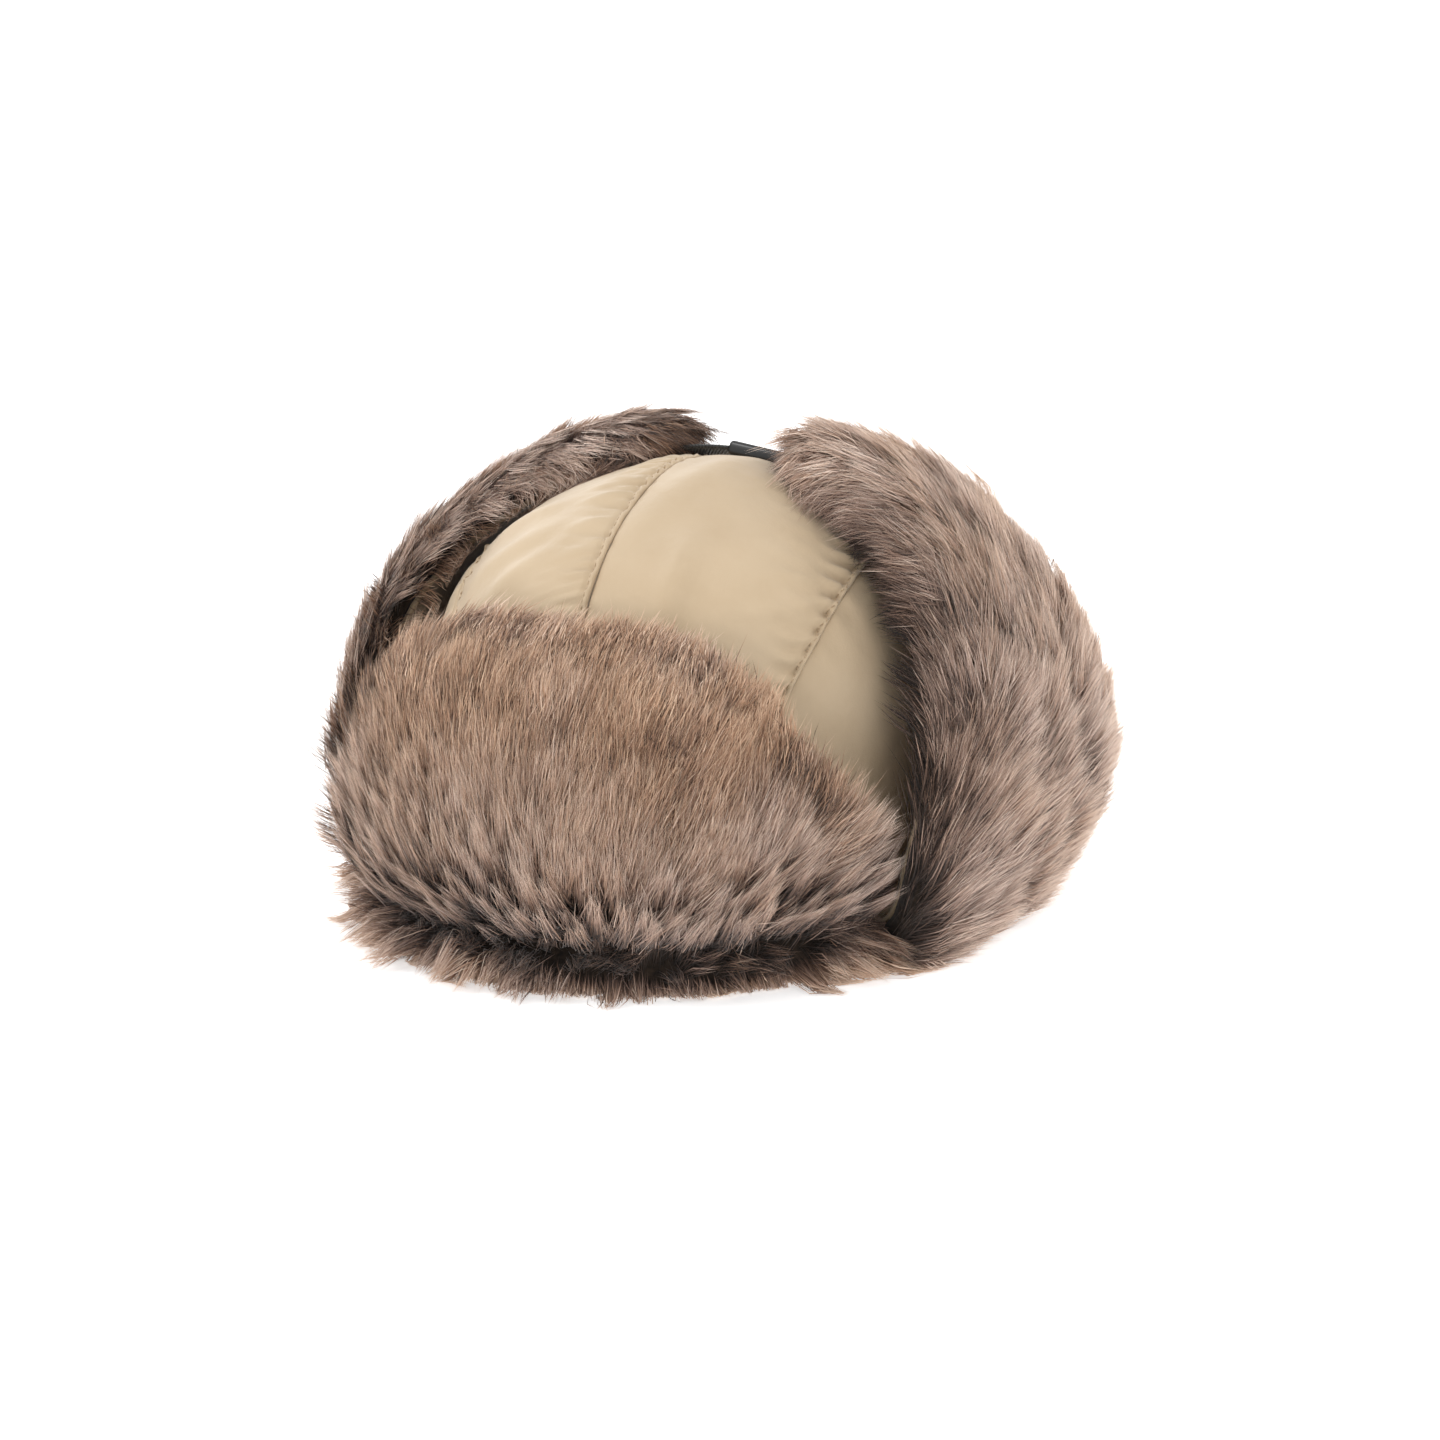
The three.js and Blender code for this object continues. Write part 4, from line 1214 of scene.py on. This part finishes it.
def combed_direction(flap, tufts, rng):
    """The way that each tuft lies on the pile, turned past its edge if it stands on one."""
    from_middle = 2 * tufts.u - 1
    near_end = np.clip(np.abs(from_middle) - 0.7, 0, 1)
    outward = from_middle + 0.9 * np.sign(from_middle) * near_end
    lean = flap.turn * tufts.comb["lean"] + tufts.comb["fan"] * outward
    lean = lean + 5 * waves(tufts.outer, 17 * MM, 71) + rng.normal(0, 7, len(lean))
    angle = np.radians(lean)[:, None]
    along = unit(tufts.up * np.cos(angle) + tufts.across * np.sin(angle))
    sideways = (tufts.edge == END_EDGE) * 1.0 - (tufts.edge == START_EDGE)
    beyond = tufts.across * sideways[:, None] + tufts.up * (tufts.edge == TOP_EDGE)[:, None]
    tucked = flap.tuck * (1 - tufts.depth[:, None]) * tufts.out
    on_edge = unit(along + flap.past_edge * beyond - tucked)
    return np.where((tufts.edge == NO_EDGE)[:, None], along, on_edge)


def tuft_lengths(flap, tufts, rng, full_length):
    """Length of each tuft: shorter on the edges, and more ragged at the rim."""
    length = full_length * tufts.comb["size"] * np.where(tufts.edge == NO_EDGE, 1.0, 0.75)
    ragged = np.where((tufts.row < 0.2) & (flap.comb is not EAR_COMB), 0.24, 0.08)
    return length * (1 + 0.06 * waves(tufts.outer, 11 * MM, 72) + rng.normal(0, ragged))


def tuft_angles(flap, tufts, rng):
    """Angle of each tuft off the pile in degrees, at its root and at its tip."""
    count = len(tufts.u)
    rise = tufts.comb["rise"] + 3 * waves(tufts.outer, 13 * MM, 73) + rng.normal(0, 6, count)
    fall = tufts.comb["fall"] + 3 * waves(tufts.outer, 13 * MM, 74) + rng.normal(0, 7, count)
    rise = np.where(tufts.edge == NO_EDGE, rise, mix(-0.3, 0.8, tufts.depth) * rise)
    if flap.turn < 0:
        front_edge = tufts.edge == END_EDGE
        rise = np.where(front_edge, mix(12, 62, tufts.depth), rise)
        fall = np.where(front_edge, mix(8, 56, tufts.depth), fall)
    return rise, fall


def hair_points(rng, tufts, along, length, angles, spread):
    """Root, waist and tip of every hair: the hairs of a tuft draw together toward its tip."""
    side = unit(np.cross(along, tufts.out))
    half = length[:, None] * 0.5
    first, last = (
        along * np.cos(turn) + tufts.out * np.sin(turn)
        for turn in (np.radians(angle)[:, None] for angle in angles)
    )
    waist = tufts.root + first * half
    tip = waist + last * half
    shape = (len(along), HAIRS_IN_TUFT)
    draw = tufts.comb["draw"][:, None]
    base_across = rng.normal(0, 1, shape) * spread
    base_ahead = rng.normal(0, 1, shape) * spread

    def spread_by(share, jitter):
        across = base_across * share + rng.normal(0, jitter, shape)
        ahead = base_ahead * share + rng.normal(0, jitter, shape)
        return across[..., None] * side[:, None] + ahead[..., None] * along[:, None]

    a = tufts.root[:, None] + spread_by(1.0, 0.0)
    b = waist[:, None] + spread_by((2 + draw) / 3, 0.5 * MM)
    c = tip[:, None] + spread_by(draw, 1.0 * MM)
    c = b + (c - b) * rng.uniform(0.55, 1.15, (*shape, 1))
    wild = rng.uniform(0, 1, (*shape, 1)) < WILD_SHARE
    c = c + np.where(wild, rng.normal(0, 2.4 * MM, c.shape), 0)
    return [points.reshape(-1, 3) for points in (a, b, c)]


def rearward(flap, tufts):
    """Place of each tuft along an ear flap: 0 at its front edge and 1 at its rear edge."""
    return tufts.u if flap.turn > 0 else 1 - tufts.u


def painted_tuft_shade(flap, tufts):
    """Painted shade: the share of its colour's lightness that each tuft keeps, less where an
    edge tuft stands deep in the pile, and less toward the front edge of an ear flap."""
    low, high = flap.edge_painted_shade
    deepest = mix(low, high, np.clip((tufts.v - 0.8) / 0.15, 0, 1))
    lightening = tufts.depth ** (2 if flap.turn > 0 else 0.8)
    shade = np.where(tufts.edge == NO_EDGE, 1.0, mix(deepest, 1.0, lightening))
    if flap.comb is EAR_COMB:
        # Painted shade toward the front edge of an ear flap, in the gap by the crown
        at_front = np.clip(1 - rearward(flap, tufts) / 0.14, 0, 1)
        at_front = at_front * np.clip((tufts.v - 0.26) / 0.14, 0, 1)
        shade = mix(shade, 1.0, 0.6 * np.clip((0.34 - tufts.v) / 0.14, 0, 1))
        shade = shade * (1 - 0.5 * (1 - low) * at_front)
        # Painted shade on the top of the right ear flap, beside the crown
        if flap.turn < 0:
            shade = shade * (1 - 0.6 * np.clip((tufts.v - 0.88) / 0.08, 0, 1))
    return shade


def hair_colours(flap, tufts, rng):
    """Tone of every hair, and how light it is at its waist and at its tip, painted shade and
    painted light included.
    """
    count = len(tufts.u)
    tone = tufts.comb["tone"] + 0.12 * waves(tufts.outer, 22 * MM, 75) + rng.normal(0, 0.08, count)
    patch_and_painted_light = 0.05 * waves(tufts.outer, 14 * MM, 76) + rng.normal(0, 0.04, count)
    if flap.comb is EAR_COMB:
        back = rearward(flap, tufts)
        # Painted light: an ear flap's hair is lighter toward its rear edge, where the backlight
        # catches it
        patch_and_painted_light = patch_and_painted_light + 0.34 * back**2
        tone = tone - 0.5 * np.clip((back - 0.75) / 0.25, 0, 1)
        if flap.turn < 0:
            tone = np.where(tufts.edge == NO_EDGE, tone, tone - 0.5)
    shade = painted_tuft_shade(flap, tufts)
    total = count * HAIRS_IN_TUFT
    tone = np.repeat(tone, HAIRS_IN_TUFT) + rng.normal(0, 0.13, total)
    pale = PALE_LIFT * (rng.uniform(0, 1, total) < PALE_SHARE)
    own = rng.normal(0, 0.13, total) + pale
    waist_light, tip_light = (
        np.clip(np.repeat((tufts.comb[name] + patch_and_painted_light) * shade, HAIRS_IN_TUFT) + own, 0.03, 0.99)
        for name in ("middle", "tip")
    )
    return tone, waist_light, tip_light


def keep_clear(points, rng):
    """Lays hair on the floor where it would pass through it, and out of the crown."""
    shaken = rng.uniform(0, 1, len(points))
    low = points[:, 2] < FLOOR_CLEARANCE
    points[low, 2] = (0.4 + 1.4 * shaken[low]) * MM
    row = section_at(CROWN, np.clip(points[:, 2], RIM_HEIGHT, CROWN_LAST_SECTION))
    half_width = np.where(points[:, 0] > 0, row["left"], row["right"])
    half_length = np.where(points[:, 1] < 0, row["front"], row["back"])
    level = np.hypot(points[:, 0] / half_width, points[:, 1] / half_length)
    margin = CROWN_CLEARANCE / np.maximum(half_width, 10 * MM)
    beside_crown = (points[:, 2] < CROWN_CLEARED_TO) & (points[:, 2] > RIM_HEIGHT)
    inside = (level < 1 + margin) & beside_crown
    grow = (1 + margin * (1 + 0.5 * shaken)) / np.maximum(level, 0.2)
    points[inside, :2] *= grow[inside, None]
    return points


def hair_object(name, rng, hairs, width):
    """One mesh of hairs, each a narrow blade that is bent and widest at its waist."""
    a, b, c = [keep_clear(points, rng) for points in (hairs.root, hairs.waist, hairs.tip)]
    count = len(a)
    along = unit(c - a)
    flat = unit(np.cross(along, hairs.out))
    lift = unit(np.cross(flat, along))
    turn = rng.uniform(-0.7, 0.7, count)[:, None]
    flat = flat * np.cos(turn) + lift * np.sin(turn)
    wide = flat * width * rng.uniform(0.7, 1.3, count)[:, None] / 2
    points = np.stack([a, b + wide, b - wide, c], axis=1)
    triangles = np.array([[0, 1, 2], [2, 1, 3]])
    faces = (np.arange(count)[:, None, None] * 4 + triangles).reshape(-1, 3)
    band = 0.012
    tone = np.clip(hairs.tone, 2 * band, 1 - 2 * band)
    waist, tip = hairs.waist_light, hairs.tip_light
    corner_u = np.stack([tone, tone + band, tone - band, tone], axis=1)
    corner_v = np.stack([np.full(count, 0.01), waist, waist, tip], axis=1)
    corner = np.stack([corner_u, corner_v], axis=2)
    uvs = corner[:, triangles.ravel()].reshape(-1, 2)
    return mesh_object(name, points.reshape(-1, 3), faces, uvs)


def undercoat_object(flap):
    """The short dense coat that shows between the hairs."""
    u, v = grid_places(42, 28)
    deep = pile_inner(flap.cloth, flap.lines)(u, v)
    shell = mix(deep, flap.pile(u, v), COAT_SHARE)
    for face in (deep, shell):
        face[..., 2] = np.maximum(face[..., 2], 0)
    return slab_object(f"{flap.name}_undercoat", deep, shell)


def hair_objects(flap, rng, sizes):
    """The hairs of one flap, in as many meshes as keep each under its count of triangles."""
    placed = place_tufts(flap, rng, int(flap.tufts * sizes.hair_density))
    tufts = comb_tufts(flap, *placed)
    along = combed_direction(flap, tufts, rng)
    length = tuft_lengths(flap, tufts, rng, sizes.hair_length)
    angles = tuft_angles(flap, tufts, rng)
    points = hair_points(rng, tufts, along, length, angles, sizes.tuft_size)
    out = np.repeat(tufts.out, HAIRS_IN_TUFT, axis=0)
    hairs = Hairs(*points, out, *hair_colours(flap, tufts, rng))
    total = len(out)
    pieces = math.ceil(total * 2 / HAIR_TRIANGLES_IN_PIECE)
    for k in range(pieces):
        part = slice(k * total // pieces, (k + 1) * total // pieces)
        some = Hairs(*(values[part] for values in hairs))
        yield hair_object(f"{flap.name}_hair_{k + 1}", rng, some, sizes.hair_width)


class USHANKA_OT_fur(bpy.types.Operator):
    """Build the long pile of the four flaps: a dark undercoat and combed hairs over it"""

    bl_idname = "ushanka.fur"
    bl_label = "Build fur"

    def execute(self, context):
        hair = fur_material()
        undercoat = undercoat_material()
        for number, flap in enumerate(FLAPS):
            wear(undercoat_object(flap), undercoat, "fur", f"{flap.name}_fur")
            rng = np.random.default_rng(100 + number)
            for obj in hair_objects(flap, rng, context.scene.ushanka):
                wear(obj, hair, "fur", f"{flap.name}_fur")
        return {"FINISHED"}


# Strap


STRAP_WIDTH = 20 * MM
STRAP_THICKNESS = 1.8 * MM
STITCH_GAP = 1.3 * MM  # between the strap and the cloth that it is sewn down
STRAP_SEAT = 0.35 * MM  # between the strap's ends and what they meet
STRAP_LEAN = math.radians(19)  # back down the crown
CLASP_FALL = math.radians(7)  # toward the wearer's left
CLASP_SIZE = np.array([27, 25, 5.5]) * MM
CLASP_BEVEL = 1.6 * MM
CLASP_START = np.array([10, 31, 167.5]) * MM  # middle of its edge on the wearer's right
RIGHT_STRAP_END = np.array([-20.5, 33, 163.5]) * MM
LEFT_STRAP_FOOT = 0.5  # how far up the flap it starts
LEFT_STRAP_PLACE = 0.34  # across the flap at its foot
SEWN_SHARE = 9 / 13  # of the left strap's steps that lie on the flap
STRAP_WIDE = np.array([0, math.cos(STRAP_LEAN), -math.sin(STRAP_LEAN)])
CLASP_ALONG = np.array([math.cos(CLASP_FALL), 0, -math.sin(CLASP_FALL)])


def tube_object(name, rings):
    """A closed tube through rings of points, each with the same even number of points."""
    count, size = rings.shape[:2]
    at = np.arange(count * size).reshape(count, size)
    following = np.roll(at, -1, axis=1)
    sides = np.stack([at[:-1], following[:-1], following[1:], at[1:]], axis=-1).reshape(-1, 4)
    half = np.arange(size // 2 - 1)
    cap = np.stack([half, half + 1, size - 2 - half, size - 1 - half], axis=-1)
    faces = np.concatenate([sides, cap[:, ::-1], cap + (count - 1) * size])
    obj = mesh_object(name, rings.reshape(-1, 3), faces)
    centre = rings[count // 2].mean(axis=0) - WHOLE_MIDDLE
    middle_face = obj.data.polygons[count // 2 * size]
    if middle_face.normal.dot(middle_face.center - Vector(centre)) < 0:
        obj.data.flip_normals()
    return obj


def webbing_section():
    """The section of flat webbing, as shares of its width and of its thickness."""
    turn = (np.arange(24) + 0.5) * 2 * math.pi / 24
    wide = np.sign(np.cos(turn)) * np.abs(np.cos(turn)) ** 0.3
    thick = np.sign(np.sin(turn)) * np.abs(np.sin(turn)) ** 0.7
    return 0.5 + wide / 2, thick / 2


def strap_point(middle, along, v, part):
    thick = unit(np.cross(along, STRAP_WIDE))
    aside = STRAP_WIDE * ((v - 0.5) * STRAP_WIDTH)[..., None]
    return middle + aside + thick * (part * STRAP_THICKNESS)[..., None]


def left_strap_rings():
    v, part = webbing_section()
    u, v = np.meshgrid(np.linspace(0, 1, 79), v, indexing="ij")
    depth = 0.5 - np.broadcast_to(part, u.shape)
    on_flap = np.clip(u / SEWN_SHARE, 0, 1)
    up = mix(LEFT_STRAP_FOOT, 1.0, on_flap)
    width = np.linalg.norm(ear_left_cloth(0 * up, up) - ear_left_cloth(0 * up + 1, up), axis=-1)
    place = mix(LEFT_STRAP_PLACE, 0.5, on_flap) + (v - 0.5) * STRAP_WIDTH / width
    sewn = flap_at(ear_left_cloth, place, up, -STITCH_GAP - depth * STRAP_THICKNESS)
    end = CLASP_START + CLASP_ALONG * (CLASP_SIZE[0] + STRAP_SEAT)
    free = np.clip((u - SEWN_SHARE) / (1 - SEWN_SHARE), 0, 1)[..., None]
    return mix(sewn, strap_point(end, CLASP_ALONG, v, 0.5 - depth), free)


def right_strap_rings():
    v, part = webbing_section()
    t, v = np.meshgrid(np.linspace(0, 1, 33), v, indexing="ij")
    start = CLASP_START - CLASP_ALONG * STRAP_SEAT
    bow = np.array([0, 0, 4 * MM])
    place = t[..., None]
    middle = mix(RIGHT_STRAP_END, start, place) + bow * place * (1 - place)
    along = unit(start - RIGHT_STRAP_END + bow * (1 - 2 * place))
    return strap_point(middle, along, v, np.broadcast_to(part, t.shape))


class USHANKA_OT_strap(bpy.types.Operator):
    """Build the two parts of the strap and the clasp between them"""

    bl_idname = "ushanka.strap"
    bl_label = "Build strap"

    def execute(self, context):
        webbing = strap_material()
        for side, rings in (("left", left_strap_rings()), ("right", right_strap_rings())):
            obj = tube_object(f"strap_webbing_{side}", rings)
            wear(obj, webbing, "strap_webbing", f"strap_{side}")
        bpy.ops.object.select_all(action="DESELECT")
        bpy.ops.mesh.primitive_cube_add(size=1)
        clasp = context.object
        clasp.name = "clasp_body"
        clasp.scale = CLASP_SIZE
        bpy.ops.object.transform_apply(location=False, rotation=False, scale=True)
        bpy.ops.object.mode_set(mode="EDIT")
        bpy.ops.mesh.select_all(action="SELECT")
        bpy.ops.mesh.bevel(offset=CLASP_BEVEL, segments=4, affect="EDGES")
        bpy.ops.object.mode_set(mode="OBJECT")
        clasp.rotation_mode = "ZYX"
        clasp.rotation_euler = (-STRAP_LEAN, CLASP_FALL, 0)
        clasp.location = CLASP_START + CLASP_ALONG * (CLASP_SIZE[0] / 2) - WHOLE_MIDDLE
        bpy.ops.object.transform_apply(location=True, rotation=True, scale=True)
        bpy.ops.object.shade_smooth()
        wear(clasp, clasp_material(), "clasp_plastic", "strap_clasp")
        return {"FINISHED"}


# Stage

VIEW_AZIMUTH = 27.0
VIEW_ELEVATION = 15.0
VIEW_DISTANCE = 1.5
VIEW_AIM = np.array([15.2, 3.3, 70.5]) * MM - WHOLE_MIDDLE
VIEW_LENS = 100.1


def add_area_light(name, place, size, power, color=(1, 1, 1)):
    data = bpy.data.lights.new(name, "AREA")
    data.shape = "DISK"
    data.size = size
    data.energy = power
    data.color = color
    light = bpy.data.objects.new(name, data)
    light.location = place
    light.rotation_mode = "QUATERNION"
    light.rotation_quaternion = (Vector((0, 0, 0.08)) - Vector(place)).to_track_quat("-Z", "Y")
    bpy.context.scene.collection.objects.link(light)
    return light


class USHANKA_OT_stage(bpy.types.Operator):
    """Set the floor, the lights and the camera"""

    bl_idname = "ushanka.stage"
    bl_label = "Build stage"

    def execute(self, context):
        bpy.ops.object.select_all(action="DESELECT")
        bpy.ops.mesh.primitive_plane_add(size=30)
        floor = context.object
        floor.name = "floor"
        floor.data.materials.append(floor_material())
        world = bpy.data.worlds.new("studio")
        world.use_nodes = True
        background = world.node_tree.nodes["Background"]
        background.inputs["Color"].default_value = (1.0, 1.0, 1.0, 1)
        background.inputs["Strength"].default_value = 1.0
        context.scene.world = world
        context.scene.view_settings.view_transform = "Standard"
        add_area_light("key", (-0.9, -0.9, 1.5), 0.7, 10.5)
        add_area_light("fill", (1.4, -1.0, 0.9), 1.2, 1.5)
        add_area_light("behind_left", (-1.3, 1.1, 0.9), 0.9, 8)
        add_area_light("behind_right", (1.2, 1.3, 0.9), 0.9, 9)
        azimuth = math.radians(VIEW_AZIMUTH)
        elevation = math.radians(VIEW_ELEVATION)
        back = Vector(
            (
                math.sin(azimuth) * math.cos(elevation),
                -math.cos(azimuth) * math.cos(elevation),
                math.sin(elevation),
            )
        )
        data = bpy.data.cameras.new("camera")
        data.lens = VIEW_LENS
        data.sensor_width = 36
        camera = bpy.data.objects.new("camera", data)
        camera.location = Vector(VIEW_AIM) + back * VIEW_DISTANCE
        camera.rotation_mode = "QUATERNION"
        camera.rotation_quaternion = (-back).to_track_quat("-Z", "Y")
        context.scene.collection.objects.link(camera)
        context.scene.camera = camera
        return {"FINISHED"}


class UshankaSizes(bpy.types.PropertyGroup):
    """Sizes that a user would change"""

    hair_length: bpy.props.FloatProperty(
        name="Hair length",
        description="Length of a full hair of the pile",
        default=0.026,
        unit="LENGTH",
    )
    hair_width: bpy.props.FloatProperty(
        name="Hair width",
        description="Width of one hair at its waist",
        default=0.00032,
        unit="LENGTH",
    )
    tuft_size: bpy.props.FloatProperty(
        name="Tuft size",
        description="How far the hairs of one tuft spread at their roots",
        default=0.0028,
        unit="LENGTH",
    )
    hair_density: bpy.props.FloatProperty(
        name="Hair density",
        description="Share of the full number of tufts",
        default=1.0,
        subtype="FACTOR",
    )
    pucker_depth: bpy.props.FloatProperty(
        name="Pucker depth",
        description="Height of the ripples beside the seams",
        default=0.0012,
        unit="LENGTH",
    )


class USHANKA_PT_sidebar(bpy.types.Panel):
    """Lists the hat's pieces in the 3D view's sidebar"""

    bl_idname = "USHANKA_PT_sidebar"
    bl_label = "Ushanka"
    bl_space_type = "VIEW_3D"
    bl_region_type = "UI"
    bl_category = "Ushanka"

    def draw(self, context):
        layout = self.layout
        sizes = context.scene.ushanka
        for name in UshankaSizes.__annotations__:
            layout.prop(sizes, name)
        for step in STEPS:
            layout.operator(step.bl_idname)


STEPS = (
    USHANKA_OT_crown,
    USHANKA_OT_flap_cloth,
    USHANKA_OT_fur,
    USHANKA_OT_strap,
    USHANKA_OT_stage,
)
CLASSES = (UshankaSizes, *STEPS, USHANKA_PT_sidebar)


def register():
    for item in CLASSES:
        bpy.utils.register_class(item)
    bpy.types.Scene.ushanka = bpy.props.PointerProperty(type=UshankaSizes)


def unregister():
    del bpy.types.Scene.ushanka
    for item in reversed(CLASSES):
        bpy.utils.unregister_class(item)


def main():
    register()
    for step in STEPS:
        group, name = step.bl_idname.split(".")
        result = getattr(getattr(bpy.ops, group), name)()
        if result != {"FINISHED"}:
            raise RuntimeError(f"{step.bl_idname} didn't finish")


if __name__ == "__main__":
    main()
